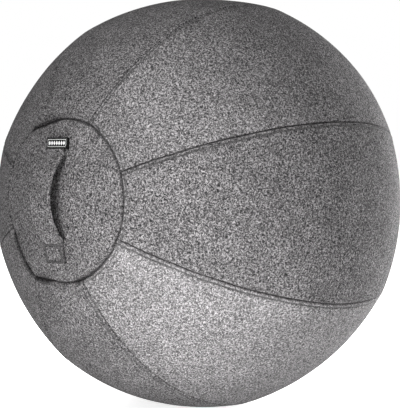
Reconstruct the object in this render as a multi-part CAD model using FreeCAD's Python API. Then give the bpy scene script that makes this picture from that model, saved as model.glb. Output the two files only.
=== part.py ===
# Balance ball chair: an air-filled ball inside a fitted felt cover with a carrying handle.
# The cover is sewn from eight gores between two round caps. The handle sits on the front cap,
# and a zip in one of the gore seams lets the ball in.
#
# Units are millimetres. +Z is up and the floor is z = 0. The caps' common axis is the
# horizontal line through the ball's middle along Y, and the handle's cap faces -Y.
# The origin is the middle of the flat patch that the ball stands on.

import FreeCAD
import Part
import math
import os

Vector = FreeCAD.Vector

# The ball's outer form
EQUATOR_RADIUS = 325.0       # half of the 650 mm that such a ball measures across its seams
FLATTENING = 11.0            # the caps pull the cover this much flatter at each pole
BELT_OFFSET = 15.0           # how far the belt arc's centre lies off the axis
FLOOR_DENT = 3.0             # how far the resting ball flattens on the floor
FLOOR_MARGIN = 1.0           # the thickened foot runs on until the skin is this far off the floor

# The felt cover
FELT = 3.0
GORES = 8
FIRST_SEAM = 19.5            # degrees above the horizontal, seen along +Y
CAP_RIM_RADIUS = 110.5
SEAM_SLOPE = 2.2             # strip along a panel's edge that turns down into its seam
SEAM_DROP = 1.1              # how deep it turns down
SEAM_GAP = 0.1               # between two sewn edges
HEM = 11.0                   # width of a turned-in seam allowance
HEM_THICK = 1.6
HEM_CLEAR = 0.15
HEM_APART = 2.0              # between the end of one allowance and what it stops for

# The air ball
LINER_GAP = 3.0              # room between felt and ball for the seam allowances and zip
BALL_WALL = 1.1
VALVE_HOLE_RADIUS = 13.0
SEAT_FLANGE_RADIUS = 24.0
SEAT_FLANGE = 2.0
SEAT_NECK_RADIUS = 8.0
SEAT_NECK_LENGTH = 17.0
SEAT_BORE_RADIUS = 4.6
SEAT_FIT = 0.1
SEAT_SUNK = 0.3              # the seat's rim, below the ball's face
SEAT_BEVEL = 0.4             # round the recess for the plug's head
SEAT_OVERLAP = 1.0           # of the flange with the moulded ring
SEAT_FLOOR = 1.2             # under the recess
SEAT_SHOULDER = 3.8          # from the recess's floor to the top of the neck
SEAT_NECK_TAPER = 1.5
PLUG_SUNK = 0.2              # the head's underside lies this much deeper than the head is thick
PLUG_CLEAR = 0.06
PLUG_HEAD_CLEAR = 0.5
PLUG_HEAD_RADIUS = 10.0
PLUG_HEAD = 1.6
PLUG_HEAD_BEVEL = 0.3
PLUG_LENGTH = 22.0           # from the ball's face to the stem's tip
PLUG_BARB = 0.9
PLUG_BARB_CLEAR = 0.4
PLUG_TIP_RADIUS = 3.0

# The zip
ZIP_SEAM = 3                 # counted up from the first seam
ZIP_TO_HANDLE_CAP = 206.0    # from the zip's open end to the handle cap's rim, along the seam
ZIP_TO_BASE_CAP = 149.0
ZIP_SLOT = 12.6
TAPE_WIDTH = 15.0
TAPE = 0.5
TAPE_DEPTH = 3.6             # the tape's face, below the cover's skin
TAPE_TAIL = 12.0             # how far a tape runs on under the seam
TAPE_EDGE = 1.6              # from the seam's line to the tape's inner edge
TAPE_FIT = 0.03              # between a tape's face and what clasps it
TAPE_EDGE_FIT = 0.1
TOOTH_PITCH = 3.6
TOOTH_ROW_OUT = 2.9          # from the seam's line to a row's outer side
TOOTH_REACH = 0.95           # how far a head passes the seam's line
TOOTH_CREST = 0.43           # how far past it the head is widest
TOOTH_HEAD = 1.7
TOOTH_TIP = 0.94
TOOTH_NECK = 1.15
TOOTH_THICK = 2.2
TOOTH_DEPTH = 2.75           # the teeth's face, below the cover's skin
STOP_LENGTH = 2.4
STOP_GAP = 0.4               # between a stop and what it faces
STOP_PROUD = 0.1             # beyond the teeth on both faces
STOP_INNER_EDGE = 0.5        # from the seam's line to each of the two shut stops

# The zip's slider and pull
SLIDER_CLEAR = 0.15
SLIDER_LENGTH = 10.5
SLIDER_NOSE = 9.4
SLIDER_TAIL = 8.0
SLIDER_TAIL_LENGTH = 4.5     # the even stretch behind the flare
SLIDER_FLARE_LENGTH = 3.1
SLIDER_CORNER = 1.05
SLIDER_FACE = 5.2            # width of the blunt front
SLIDER_RIM = 0.75
SLIDER_TOP = 0.9
SLIDER_BOTTOM = 0.65
POST_LENGTH = 3.0
POST_POINT = 1.8
POST_WIDTH = 1.5
POST_INSET = 0.3
BAIL_WIDTH = 2.0
BAIL_LENGTH = 6.4
BAIL_WIRE = 1.1
BAIL_CORNER = 1.3
BAIL_ROOT = 0.2              # sunk into the slider's top
PULL_WIDTH = 7.0
PULL_LENGTH = 30.0
PULL_NECK_WIDTH = 6.0
PULL_NECK_LENGTH = 5.0
PULL_END_LENGTH = 6.0        # the even stretch at the free end
PULL_CORNER = 1.2
PULL_OVER_SKIN = 0.15        # the pull lies this far above the cover's skin
PULL_EYE_WIDTH = 3.2
PULL_EYE_LENGTH = 3.0
PULL_PIN = 1.2
PULL_PIN_ROOT = 0.5          # sunk into the blade on both sides
PULL_CLEAR = 0.3
PULL_HOLE_RADIUS = 1.6
PULL_HOLE_INSET = 5.0        # from the free end

# The handle
STRAP_WIDTH = 37.0
STRAP_LAYER = 2.5
STRAP_SEAT = 0.12            # between the strap's sewn ends and the cap
STRAP_LIFT_OFF = 57.5        # along the cap from the arch's middle to where the strap leaves it
STRAP_RISE = 15.5            # clear height under the arch
STRAP_SWEEP = 25.0           # radius where the strap curves up off the cap
STRAP_UP = 4.5               # the arch's middle stands this far above the pole
STRAP_LOWER_END = 80.5       # below the pole, along the cap
STRAP_UPPER_END = 84.5
GRIP_HALF = 36.0             # half of the length that sways
GRIP_GAP = 0.1
LABEL_HEIGHT = 15.5
LABEL_WIDTH = 40.5
LABEL_THICK = 0.7
LABEL_CLEAR = 0.1
LABEL_TOP = 84.0

OUT = "parts"
GORE_ANGLE = 360.0 / GORES
CENTRE = Vector(0, 0, EQUATOR_RADIUS - FLOOR_DENT)
AXIS = Vector(0, 1, 0)

# The meridian is three tangent arcs: a belt arc centred off the axis, and a flatter arc on each pole.
POLE_RADIUS = EQUATOR_RADIUS - FLATTENING
POLE_SHIFT = ((2 * FLATTENING * BELT_OFFSET - FLATTENING ** 2)
              / (2 * (BELT_OFFSET - FLATTENING)))
BELT_ARC = EQUATOR_RADIUS - BELT_OFFSET
POLE_ARC = POLE_RADIUS + POLE_SHIFT
JOIN = math.degrees(math.atan2(BELT_OFFSET, POLE_SHIFT))
RIM = math.degrees(math.asin(CAP_RIM_RADIUS / POLE_ARC))
LINER = FELT + LINER_GAP


def meridian(angle, depth):
    """The point of the ball's profile whose normal lies at angle from the handle's pole,
    that far below the skin, drawn in the plane x = distance from the axis."""
    a = math.radians(angle)
    if angle < JOIN:
        return Vector((POLE_ARC - depth) * math.sin(a), POLE_SHIFT - (POLE_ARC - depth) * math.cos(a), 0)
    if angle > 180 - JOIN:
        return Vector((POLE_ARC - depth) * math.sin(a), -POLE_SHIFT - (POLE_ARC - depth) * math.cos(a), 0)
    return Vector(BELT_OFFSET + (BELT_ARC - depth) * math.sin(a), -(BELT_ARC - depth) * math.cos(a), 0)


def profile_edges(start, end, depth):
    """The profile from one angle to another, as one arc for each centre that it crosses."""
    stops = [start] + [s for s in (JOIN, 180 - JOIN) if start < s < end] + [end]
    edges = []
    for a, b in zip(stops[:-1], stops[1:]):
        shift = 1e-7
        first = meridian(a + shift, depth)
        last = meridian(b - shift, depth)
        edges.append(Part.Arc(first, meridian((a + b) / 2, depth), last).toShape())
    return edges


def chained(edges):
    """One wire from edges whose ends meet to within a hair."""
    points = [edges[0].valueAt(edges[0].FirstParameter)]
    for edge in edges:
        points.append(edge.valueAt(edge.LastParameter))
    rebuilt = []
    for start, end, edge in zip(points[:-1], points[1:], edges):
        middle = edge.valueAt((edge.FirstParameter + edge.LastParameter) / 2)
        rebuilt.append(Part.Arc(start, middle, end).toShape())
    return rebuilt


def band_face(start, end, depth, thick):
    """The section of a skin between two angles, from depth down to depth plus thick."""
    outer = chained(profile_edges(start, end, depth))
    inner = chained(profile_edges(start, end, depth + thick))
    outer_first = outer[0].valueAt(outer[0].FirstParameter)
    outer_last = outer[-1].valueAt(outer[-1].LastParameter)
    inner_first = inner[0].valueAt(inner[0].FirstParameter)
    inner_last = inner[-1].valueAt(inner[-1].LastParameter)
    sides = [Part.LineSegment(outer_last, inner_last).toShape(),
             Part.LineSegment(inner_first, outer_first).toShape()]
    return Part.Face(Part.Wire(Part.__sortEdges__(outer + inner + sides)))


def seam_angle(index):
    """How far seam index is turned up from the +X side, about the caps' axis."""
    return FIRST_SEAM + index * GORE_ANGLE


def turned(shape, angle):
    """A shape drawn beside the axis in the XY plane, turned up by angle and lifted to the ball's middle."""
    moved = shape.copy()
    moved.rotate(Vector(0, 0, 0), AXIS, -angle)
    moved.translate(CENTRE)
    return moved


def swept(face, start, sweep):
    """A section swept about the axis from one angle through another."""
    return turned(face, start).revolve(CENTRE, -AXIS, sweep)


def plump(depth):
    """The whole ball as a solid, that far below the skin and flat on the floor side."""
    edges = chained(profile_edges(0, 180, depth))
    first = edges[0].valueAt(edges[0].FirstParameter)
    last = edges[-1].valueAt(edges[-1].LastParameter)
    half = Part.Face(Part.Wire(edges + [Part.LineSegment(last, first).toShape()]))
    ball = swept(half, 0, 360)
    side = 4 * EQUATOR_RADIUS
    below = Part.makeBox(side, side, side, Vector(-side / 2, -side / 2, depth - side))
    return ball.cut(below)


# The zip runs along the belt arc of its seam, so the slider turns about that arc's centre.
ZIP_TURN = math.radians(seam_angle(ZIP_SEAM))
ZIP_OUT = Vector(math.cos(ZIP_TURN), 0, math.sin(ZIP_TURN))
ZIP_CENTRE = CENTRE + ZIP_OUT * BELT_OFFSET
ARC_DEGREE = math.radians(1) * BELT_ARC      # millimetres along the belt arc for one degree
RIM_TO_JOIN = math.radians(JOIN - RIM) * POLE_ARC
ZIP_OPEN_END = JOIN + (ZIP_TO_HANDLE_CAP - RIM_TO_JOIN) / ARC_DEGREE
ZIP_SHUT_END = 180 - JOIN - (ZIP_TO_BASE_CAP - RIM_TO_JOIN) / ARC_DEGREE
SLIDER_REST = ZIP_SHUT_END - (SLIDER_LENGTH / 2 + STOP_GAP + STOP_LENGTH + STOP_GAP) / ARC_DEGREE
OPEN_STOP = ZIP_OPEN_END + (STOP_GAP + STOP_LENGTH / 2) / ARC_DEGREE
SLIDER_OPEN = OPEN_STOP + (STOP_LENGTH / 2 + STOP_GAP + SLIDER_LENGTH / 2) / ARC_DEGREE
SLIDER_TRAVEL = SLIDER_REST - SLIDER_OPEN


def on_zip(solid, angle):
    """Places a solid drawn with x along the zip towards its shut end, y across, z out from the skin."""
    a = math.radians(angle)
    out = ZIP_OUT * math.sin(a) - AXIS * math.cos(a)
    along = ZIP_OUT * math.cos(a) + AXIS * math.sin(a)
    place = ZIP_CENTRE + out * BELT_ARC
    across = out.cross(along)
    frame = FreeCAD.Matrix(along.x, across.x, out.x, place.x,
                           along.y, across.y, out.y, place.y,
                           along.z, across.z, out.z, place.z,
                           0, 0, 0, 1)
    return moved_by(solid, frame)


def moved_by(solid, matrix):
    """A copy of a solid under a rotation and shift."""
    copied = solid.copy()
    copied.Placement = FreeCAD.Placement(matrix)
    return copied


def zip_strip(across_low, across_high, depth_low, depth_high, start, end):
    """A strip that follows the zip's arc: a rectangle swept about the arc's centre."""
    high = BELT_ARC - depth_low
    low = BELT_ARC - depth_high
    corners = [Vector(low, across_low, 0), Vector(high, across_low, 0),
               Vector(high, across_high, 0), Vector(low, across_high, 0)]
    a = math.radians(start)
    out = ZIP_OUT * math.sin(a) - AXIS * math.cos(a)
    along = ZIP_OUT * math.cos(a) + AXIS * math.sin(a)
    across = out.cross(along)
    placed = [ZIP_CENTRE + out * c.x + across * c.y for c in corners]
    face = Part.Face(Part.makePolygon(placed + placed[:1]))
    return face.revolve(ZIP_CENTRE, across, end - start)


def gore_section(drop):
    """A gore's section: the skin lowered by drop, and sloped down at the rims of both caps."""
    slope = math.degrees(SEAM_SLOPE / POLE_ARC)
    outer = chained(profile_edges(RIM + slope, 180 - RIM - slope, drop))
    inner = chained(profile_edges(RIM, 180 - RIM, FELT))
    corners = [outer[0].valueAt(outer[0].FirstParameter), meridian(RIM, SEAM_DROP),
               inner[0].valueAt(inner[0].FirstParameter)]
    far_corners = [outer[-1].valueAt(outer[-1].LastParameter), meridian(180 - RIM, SEAM_DROP),
                   inner[-1].valueAt(inner[-1].LastParameter)]
    lines = []
    for first, middle, last in (corners, far_corners):
        lines.append(Part.LineSegment(first, middle).toShape())
        lines.append(Part.LineSegment(middle, last).toShape())
    return Part.Wire(Part.__sortEdges__(outer + inner + lines))


def gore(index):
    """One felt gore, from the seam of its own number up to the next."""
    gap = math.degrees(SEAM_GAP / 2 / EQUATOR_RADIUS)
    slope = math.degrees(SEAM_SLOPE / EQUATOR_RADIUS)
    start = seam_angle(index) + gap
    end = seam_angle(index + 1) - gap
    full = gore_section(0)
    low = gore_section(SEAM_DROP)
    panel = swept(Part.Face(full), start + slope, end - start - 2 * slope)
    for edge, inside in ((start, start + slope), (end, end - slope)):
        slopes = Part.makeLoft([turned(low, edge), turned(full, inside)], True, True)
        panel = panel.fuse(slopes)
    panel = panel.removeSplitter()
    down = (270 - seam_angle(index)) % 360
    if down < GORE_ANGLE:
        panel = flattened(panel)
    if index in (ZIP_SEAM - 1, ZIP_SEAM):
        slot = zip_strip(-ZIP_SLOT / 2, ZIP_SLOT / 2, -FELT, 2 * FELT, ZIP_OPEN_END, ZIP_SHUT_END)
        panel = panel.cut(slot)
    return panel


def flattened(panel):
    """The gore under the ball, flat where it meets the floor and as thick there as elsewhere."""
    reach = math.sqrt(2 * EQUATOR_RADIUS * (FLOOR_DENT + FLOOR_MARGIN))
    pad = Part.makeCylinder(reach, 3 * FELT, Vector(0, 0, 0))
    pad = pad.common(plump(0))
    lined = panel.fuse(pad).cut(plump(FELT))
    side = 4 * EQUATOR_RADIUS
    below = Part.makeBox(side, side, side, Vector(-side / 2, -side / 2, -side))
    return lined.cut(below)


def cap(far):
    """A round end panel of the cover, sloped down at its rim."""
    edge = math.radians(RIM) - SEAM_GAP / POLE_ARC
    slope = edge - SEAM_SLOPE / POLE_ARC
    way = 1 if far else -1

    def point(depth, turn):
        radius = POLE_ARC - depth
        return Vector(radius * math.sin(turn), way * (radius * math.cos(turn) - POLE_SHIFT), 0)

    edges = [Part.Arc(point(0, 0), point(0, slope / 2), point(0, slope)).toShape(),
             Part.LineSegment(point(0, slope), point(SEAM_DROP, edge)).toShape(),
             Part.LineSegment(point(SEAM_DROP, edge), point(FELT, edge)).toShape(),
             Part.Arc(point(FELT, edge), point(FELT, edge / 2), point(FELT, 0)).toShape(),
             Part.LineSegment(point(FELT, 0), point(0, 0)).toShape()]
    return swept(Part.Face(Part.Wire(edges)), 0, 360)


def seam_allowances():
    """The turned-in edges of the gores, laid to one side of every seam, inside the cover."""
    depth = FELT + HEM_CLEAR
    hem_angle = math.degrees(HEM / EQUATOR_RADIUS)
    rim_end = RIM + math.degrees((HEM + HEM_APART) / POLE_ARC)
    strips = []
    for index in range(GORES):
        spans = [(rim_end, 180 - rim_end)]
        if index == ZIP_SEAM:
            clear = (TAPE_TAIL + HEM_APART) / ARC_DEGREE
            spans = [(rim_end, ZIP_OPEN_END - clear), (ZIP_SHUT_END + clear, 180 - rim_end)]
        for start, end in spans:
            section = band_face(start, end, depth, HEM_THICK)
            strips.append(swept(section, seam_angle(index) - hem_angle, hem_angle))
    return Part.makeCompound(strips)


def cap_allowances():
    """The turned-in edges around both caps."""
    depth = FELT + HEM_CLEAR
    end = RIM + math.degrees(HEM / POLE_ARC)
    rings = []
    for start, stop in ((RIM, end), (180 - end, 180 - RIM)):
        rings.append(swept(band_face(start, stop, depth, HEM_THICK), 0, 360))
    return Part.makeCompound(rings)


def valve_axis_y(depth):
    """Where the far pole lies on the axis, that far below the skin."""
    return POLE_RADIUS - depth


def air_ball():
    """The blown ball, with its valve hole at the far pole."""
    wall = plump(LINER).cut(plump(LINER + BALL_WALL))
    start = CENTRE + AXIS * (POLE_RADIUS / 2)
    return wall.cut(Part.makeCylinder(VALVE_HOLE_RADIUS, POLE_RADIUS, start, AXIS))


def revolved(points, base):
    """A solid turned about the caps' axis from (radius, height) points, heights from base inwards."""
    placed = [Vector(r, base - h, 0) for r, h in points]
    face = Part.Face(Part.makePolygon(placed + placed[:1]))
    return swept(face, 0, 360)


def valve_seat():
    """The moulded seat welded inside the valve hole, with a neck that grips the plug."""
    hole = VALVE_HOLE_RADIUS - SEAT_FIT
    recess = PLUG_HEAD_RADIUS + PLUG_HEAD_CLEAR
    recess_floor = PLUG_HEAD + PLUG_SUNK
    arc = POLE_ARC - LINER - BALL_WALL
    inner_edge = math.degrees(math.asin((hole - SEAT_OVERLAP) / arc))
    outer_edge = math.degrees(math.asin(SEAT_FLANGE_RADIUS / arc))
    section = band_face(180 - outer_edge, 180 - inner_edge, LINER + BALL_WALL, SEAT_FLANGE)
    body = revolved([(SEAT_BORE_RADIUS, recess_floor), (recess, recess_floor),
                     (recess + SEAT_BEVEL, SEAT_SUNK), (hole, SEAT_SUNK),
                     (hole, recess_floor + SEAT_FLOOR), (SEAT_NECK_RADIUS, recess_floor + SEAT_SHOULDER),
                     (SEAT_NECK_RADIUS - SEAT_NECK_TAPER, SEAT_NECK_LENGTH),
                     (SEAT_BORE_RADIUS, SEAT_NECK_LENGTH)],
                    valve_axis_y(LINER))
    return swept(section, 0, 360).fuse(body).removeSplitter()


def valve_plug():
    """The push-in stopper, with a flat head and a ringed stem that hangs through the neck."""
    base = valve_axis_y(LINER)
    stem = SEAT_BORE_RADIUS - PLUG_CLEAR
    seated = PLUG_HEAD + PLUG_SUNK - PLUG_CLEAR
    face = seated - PLUG_HEAD
    barb = SEAT_NECK_LENGTH + PLUG_BARB_CLEAR
    points = [(0, face), (PLUG_HEAD_RADIUS, face + PLUG_HEAD_BEVEL), (PLUG_HEAD_RADIUS, seated),
              (stem, seated), (stem, barb), (stem + PLUG_BARB, barb), (PLUG_TIP_RADIUS, PLUG_LENGTH),
              (0, PLUG_LENGTH)]
    return revolved(points, base)


def zip_tape(side):
    """One woven tape, from its beaded edge beside the teeth out under the felt."""
    low, high = sorted((side * TAPE_EDGE, side * TAPE_WIDTH))
    return zip_strip(low, high, TAPE_DEPTH, TAPE_DEPTH + TAPE,
                     ZIP_OPEN_END - TAPE_TAIL / ARC_DEGREE, ZIP_SHUT_END + TAPE_TAIL / ARC_DEGREE)


def tape_groove(side, length):
    """The room that one tape takes in what clasps it."""
    low, high = sorted((side * (TAPE_EDGE - TAPE_EDGE_FIT), side * TAPE_WIDTH))
    return Part.makeBox(length * 2, high - low, TAPE + 2 * TAPE_FIT,
                        Vector(-length, low, -TAPE_DEPTH - TAPE - TAPE_FIT))


def tooth(side):
    """One moulded tooth: a foot that clasps the tape's edge, a narrow neck and a wider head."""
    foot = side * TOOTH_ROW_OUT
    crest = -side * TOOTH_CREST
    tip = -side * TOOTH_REACH
    outline = [(-TOOTH_NECK / 2, foot), (TOOTH_NECK / 2, foot),
               (TOOTH_HEAD / 2, crest), (TOOTH_TIP / 2, tip),
               (-TOOTH_TIP / 2, tip), (-TOOTH_HEAD / 2, crest)]
    base = -TOOTH_DEPTH - TOOTH_THICK
    placed = [Vector(x, y, base) for x, y in outline]
    body = Part.Face(Part.makePolygon(placed + placed[:1])).extrude(Vector(0, 0, TOOTH_THICK))
    return body.cut(tape_groove(side, TOOTH_HEAD))


def tooth_row(side):
    """One side's teeth, at an even pitch from the open end to the slider's post."""
    single = tooth(side)
    first = OPEN_STOP + (STOP_LENGTH / 2 + STOP_GAP + TOOTH_HEAD) / ARC_DEGREE
    last = SLIDER_REST - TOOTH_HEAD / ARC_DEGREE
    pitch = TOOTH_PITCH / ARC_DEGREE
    offset = 0 if side > 0 else pitch / 2
    count = int((last - first - offset) / pitch) + 1
    return Part.makeCompound([on_zip(single, first + offset + n * pitch) for n in range(count)])


def stop_block(width, centre_y, length):
    """A crimped end stop, as thick as the teeth, that clasps the tape's edge."""
    block = Part.makeBox(length, width, TOOTH_THICK + 2 * STOP_PROUD,
                         Vector(-length / 2, centre_y - width / 2, -TOOTH_DEPTH - TOOTH_THICK - STOP_PROUD))
    return block.cut(tape_groove(-1, length)).cut(tape_groove(1, length))


def open_stop():
    """The single stop that holds both rows together at the open end."""
    block = stop_block(2 * TOOTH_ROW_OUT, 0, STOP_LENGTH)
    return on_zip(block, OPEN_STOP)


def shut_stops():
    """The two stops, one on each tape, that the slider meets when the zip is shut."""
    angle = ZIP_SHUT_END - (STOP_GAP + STOP_LENGTH / 2) / ARC_DEGREE
    width = TOOTH_ROW_OUT - STOP_INNER_EDGE
    middle = STOP_INNER_EDGE + width / 2
    return Part.makeCompound([on_zip(stop_block(width, side * middle, STOP_LENGTH), angle) for side in (-1, 1)])


def slider_outline(inset, height, thick):
    """The slider's plan, wide at the nose and narrow at the tail, as a plate."""
    half = SLIDER_LENGTH / 2 - inset
    flare_start = SLIDER_TAIL_LENGTH - SLIDER_LENGTH / 2
    side = [(-half, SLIDER_TAIL / 2 - inset), (flare_start, SLIDER_TAIL / 2 - inset),
            (flare_start + SLIDER_FLARE_LENGTH, SLIDER_NOSE / 2 - inset),
            (half - SLIDER_CORNER, SLIDER_NOSE / 2 - inset), (half, SLIDER_FACE / 2 - inset)]
    points = [Vector(x, -y, height) for x, y in side] + [Vector(x, y, height) for x, y in reversed(side)]
    return Part.Face(Part.makePolygon(points + points[:1])).extrude(Vector(0, 0, thick))


def slider_heights():
    """The slider's levels below the skin: bottom, channel floor, lips, channel roof and top."""
    floor = -TOOTH_DEPTH - TOOTH_THICK - SLIDER_CLEAR
    roof = -TOOTH_DEPTH + SLIDER_CLEAR
    return floor - SLIDER_BOTTOM, floor, roof, roof + SLIDER_TOP


def slider_body():
    """The slider: two plates with lips round the channel, joined by the post at the nose, and a bail."""
    bottom, floor, roof, top = slider_heights()
    shell = slider_outline(0, bottom, top - bottom)
    channel = slider_outline(SLIDER_RIM, floor, roof - floor)
    ends = Part.makeBox(SLIDER_LENGTH * 2, (SLIDER_TAIL / 2 - SLIDER_RIM) * 2, roof - floor,
                        Vector(-SLIDER_LENGTH, -(SLIDER_TAIL / 2 - SLIDER_RIM), floor))
    tape_slit = Part.makeBox(SLIDER_LENGTH * 2, SLIDER_NOSE * 2, TAPE + 2 * SLIDER_CLEAR,
                             Vector(-SLIDER_LENGTH, -SLIDER_NOSE, -TAPE_DEPTH - TAPE - SLIDER_CLEAR))
    post_x = SLIDER_LENGTH / 2 - POST_LENGTH - SLIDER_RIM
    post_end = SLIDER_LENGTH / 2 - POST_INSET
    post = [Vector(post_x, 0, floor), Vector(post_x + POST_POINT, -POST_WIDTH / 2, floor),
            Vector(post_end, -POST_WIDTH / 2, floor), Vector(post_end, POST_WIDTH / 2, floor),
            Vector(post_x + POST_POINT, POST_WIDTH / 2, floor)]
    diamond = Part.Face(Part.makePolygon(post + post[:1])).extrude(Vector(0, 0, roof - floor))
    body = shell.cut(channel).cut(ends).cut(tape_slit).fuse(diamond)
    return on_zip(body.fuse(bail()).removeSplitter(), SLIDER_REST)


def bail():
    """The small bridge on the slider that the pull hangs from."""
    top = slider_heights()[3]
    inside = pull_hinge()[1] + PULL_PIN / 2 + PULL_CLEAR - top
    outer = bail_arch(BAIL_LENGTH / 2, inside + BAIL_WIRE, top, BAIL_CORNER)
    inner = bail_arch(BAIL_LENGTH / 2 - BAIL_WIRE, inside, top, BAIL_CORNER - BAIL_WIRE)
    return outer.cut(inner)


def bail_arch(half, rise, top, corner):
    """A block with a rounded top, across the bail's width."""
    y = -BAIL_WIDTH / 2
    low = top - BAIL_ROOT
    high = top + rise
    bend = corner * (1 - math.sqrt(0.5))
    edges = [Part.LineSegment(Vector(-half, y, low), Vector(-half, y, high - corner)),
             Part.Arc(Vector(-half, y, high - corner), Vector(-half + bend, y, high - bend),
                      Vector(-half + corner, y, high)),
             Part.LineSegment(Vector(-half + corner, y, high), Vector(half - corner, y, high)),
             Part.Arc(Vector(half - corner, y, high), Vector(half - bend, y, high - bend),
                      Vector(half, y, high - corner)),
             Part.LineSegment(Vector(half, y, high - corner), Vector(half, y, low)),
             Part.LineSegment(Vector(half, y, low), Vector(-half, y, low))]
    face = Part.Face(Part.Wire([e.toShape() for e in edges]))
    return face.extrude(Vector(0, BAIL_WIDTH, 0))


def pull_hinge():
    """Where the pull's pin lies, along the slider and out from the skin."""
    x = -BAIL_LENGTH / 2 + BAIL_WIRE + PULL_PIN / 2 + PULL_CLEAR
    return x, PULL_OVER_SKIN + PULL_PIN / 2


def zip_pull():
    """The tab that hangs from the bail: an eye with its pin, and a tapering blade with a hole."""
    x, z = pull_hinge()
    front = x + PULL_PIN / 2
    end = front - PULL_LENGTH
    low = z - PULL_PIN / 2
    side = [(front, PULL_NECK_WIDTH / 2), (front - PULL_NECK_LENGTH, PULL_NECK_WIDTH / 2),
            (end + PULL_END_LENGTH, PULL_WIDTH / 2), (end + PULL_CORNER, PULL_WIDTH / 2),
            (end, PULL_WIDTH / 2 - PULL_CORNER)]
    outline = [Vector(a, b, low) for a, b in side] + [Vector(a, -b, low) for a, b in reversed(side)]
    blade = Part.Face(Part.makePolygon(outline + outline[:1])).extrude(Vector(0, 0, PULL_PIN))
    eye = Part.makeBox(PULL_EYE_LENGTH + PULL_PIN, PULL_EYE_WIDTH, 2 * PULL_PIN,
                       Vector(x - PULL_PIN / 2 - PULL_EYE_LENGTH, -PULL_EYE_WIDTH / 2, low - PULL_PIN / 2))
    hole = Part.makeCylinder(PULL_HOLE_RADIUS, 2 * PULL_PIN,
                             Vector(end + PULL_HOLE_INSET, 0, low - PULL_PIN / 2), Vector(0, 0, 1))
    pin_half = PULL_EYE_WIDTH / 2 + PULL_PIN_ROOT
    pin = Part.makeCylinder(PULL_PIN / 2, 2 * pin_half, Vector(x, -pin_half, z), Vector(0, 1, 0))
    return on_zip(blade.cut(eye).cut(hole).fuse(pin).removeSplitter(), SLIDER_REST)


# The handle is drawn in a plane through the cap's axis: x up along the cap, y out from the cap,
# measured from the centre of the cap's arc.
CAP_CENTRE = CENTRE + AXIS * POLE_SHIFT
SEAT_ARC = POLE_ARC + STRAP_SEAT
LIFT_ANGLE = STRAP_LIFT_OFF / POLE_ARC
SWEEP_X = (SEAT_ARC + STRAP_SWEEP) * math.sin(LIFT_ANGLE)
SWEEP_Y = (SEAT_ARC + STRAP_SWEEP) * math.cos(LIFT_ANGLE)
CROWN = SEAT_ARC + STRAP_RISE + STRAP_SWEEP
ARCH_Y = (CROWN ** 2 - SWEEP_X ** 2 - SWEEP_Y ** 2) / (2 * (CROWN - SWEEP_Y))
ARCH_RADIUS = SEAT_ARC + STRAP_RISE - ARCH_Y
MEET_ANGLE = math.atan2(SWEEP_X, SWEEP_Y - ARCH_Y)
TILT = STRAP_UP / POLE_ARC


def strap_line(out, low_end, high_end):
    """The strap's side line that far out from its underside, as five tangent arcs."""
    def seat(angle):
        return Vector((SEAT_ARC + out) * math.sin(angle), (SEAT_ARC + out) * math.cos(angle), 0)

    def arch(angle):
        return Vector((ARCH_RADIUS + out) * math.sin(angle), ARCH_Y + (ARCH_RADIUS + out) * math.cos(angle), 0)

    def sweep(angle, way):
        r = STRAP_SWEEP - out
        return Vector(way * (SWEEP_X - r * math.sin(angle)), SWEEP_Y - r * math.cos(angle), 0)

    mid = (LIFT_ANGLE + MEET_ANGLE) / 2
    arcs = [(seat(low_end), seat((low_end - LIFT_ANGLE) / 2), seat(-LIFT_ANGLE)),
            (seat(-LIFT_ANGLE), sweep(mid, -1), arch(-MEET_ANGLE)),
            (arch(-MEET_ANGLE), arch(0), arch(MEET_ANGLE)),
            (arch(MEET_ANGLE), sweep(mid, 1), seat(LIFT_ANGLE)),
            (seat(LIFT_ANGLE), seat((high_end + LIFT_ANGLE) / 2), seat(high_end))]
    return [Part.Arc(*three).toShape() for three in arcs]


def on_cap(shape):
    """Places what is drawn in the handle's plane onto the cap, with the strap's width along X."""
    frame = FreeCAD.Matrix(0, 0, 1, CAP_CENTRE.x,
                           math.sin(TILT), -math.cos(TILT), 0, CAP_CENTRE.y,
                           math.cos(TILT), math.sin(TILT), 0, CAP_CENTRE.z,
                           0, 0, 0, 1)
    return moved_by(shape, frame)


def strap_layer(layer):
    """One felt layer of the whole strap, end to end."""
    low_end = -STRAP_LOWER_END / POLE_ARC - TILT
    high_end = STRAP_UPPER_END / POLE_ARC - TILT
    near = strap_line(layer * STRAP_LAYER, low_end, high_end)
    far = strap_line((layer + 1) * STRAP_LAYER, low_end, high_end)
    ends = [Part.LineSegment(near[0].valueAt(near[0].FirstParameter),
                             far[0].valueAt(far[0].FirstParameter)).toShape(),
            Part.LineSegment(near[-1].valueAt(near[-1].LastParameter),
                             far[-1].valueAt(far[-1].LastParameter)).toShape()]
    face = Part.Face(Part.Wire(Part.__sortEdges__(near + far + ends)))
    layer_solid = face.extrude(Vector(0, 0, STRAP_WIDTH))
    layer_solid.translate(Vector(0, 0, -STRAP_WIDTH / 2))
    return layer_solid


def strap_part(layer, low, high):
    """The stretch of a strap layer between two heights along the cap."""
    deep = 2 * POLE_ARC
    window = Part.makeBox(high - low, deep, 2 * STRAP_WIDTH, Vector(low, 0, -STRAP_WIDTH))
    return on_cap(strap_layer(layer).common(window))


def strap_end(way):
    """One sewn end of the strap, both layers, as far as where the arch begins to sway."""
    near = GRIP_HALF + GRIP_GAP
    far = POLE_ARC / 2
    low, high = (near, far) if way > 0 else (-far, -near)
    return Part.makeCompound([strap_part(layer, low, high) for layer in (0, 1)])


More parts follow.
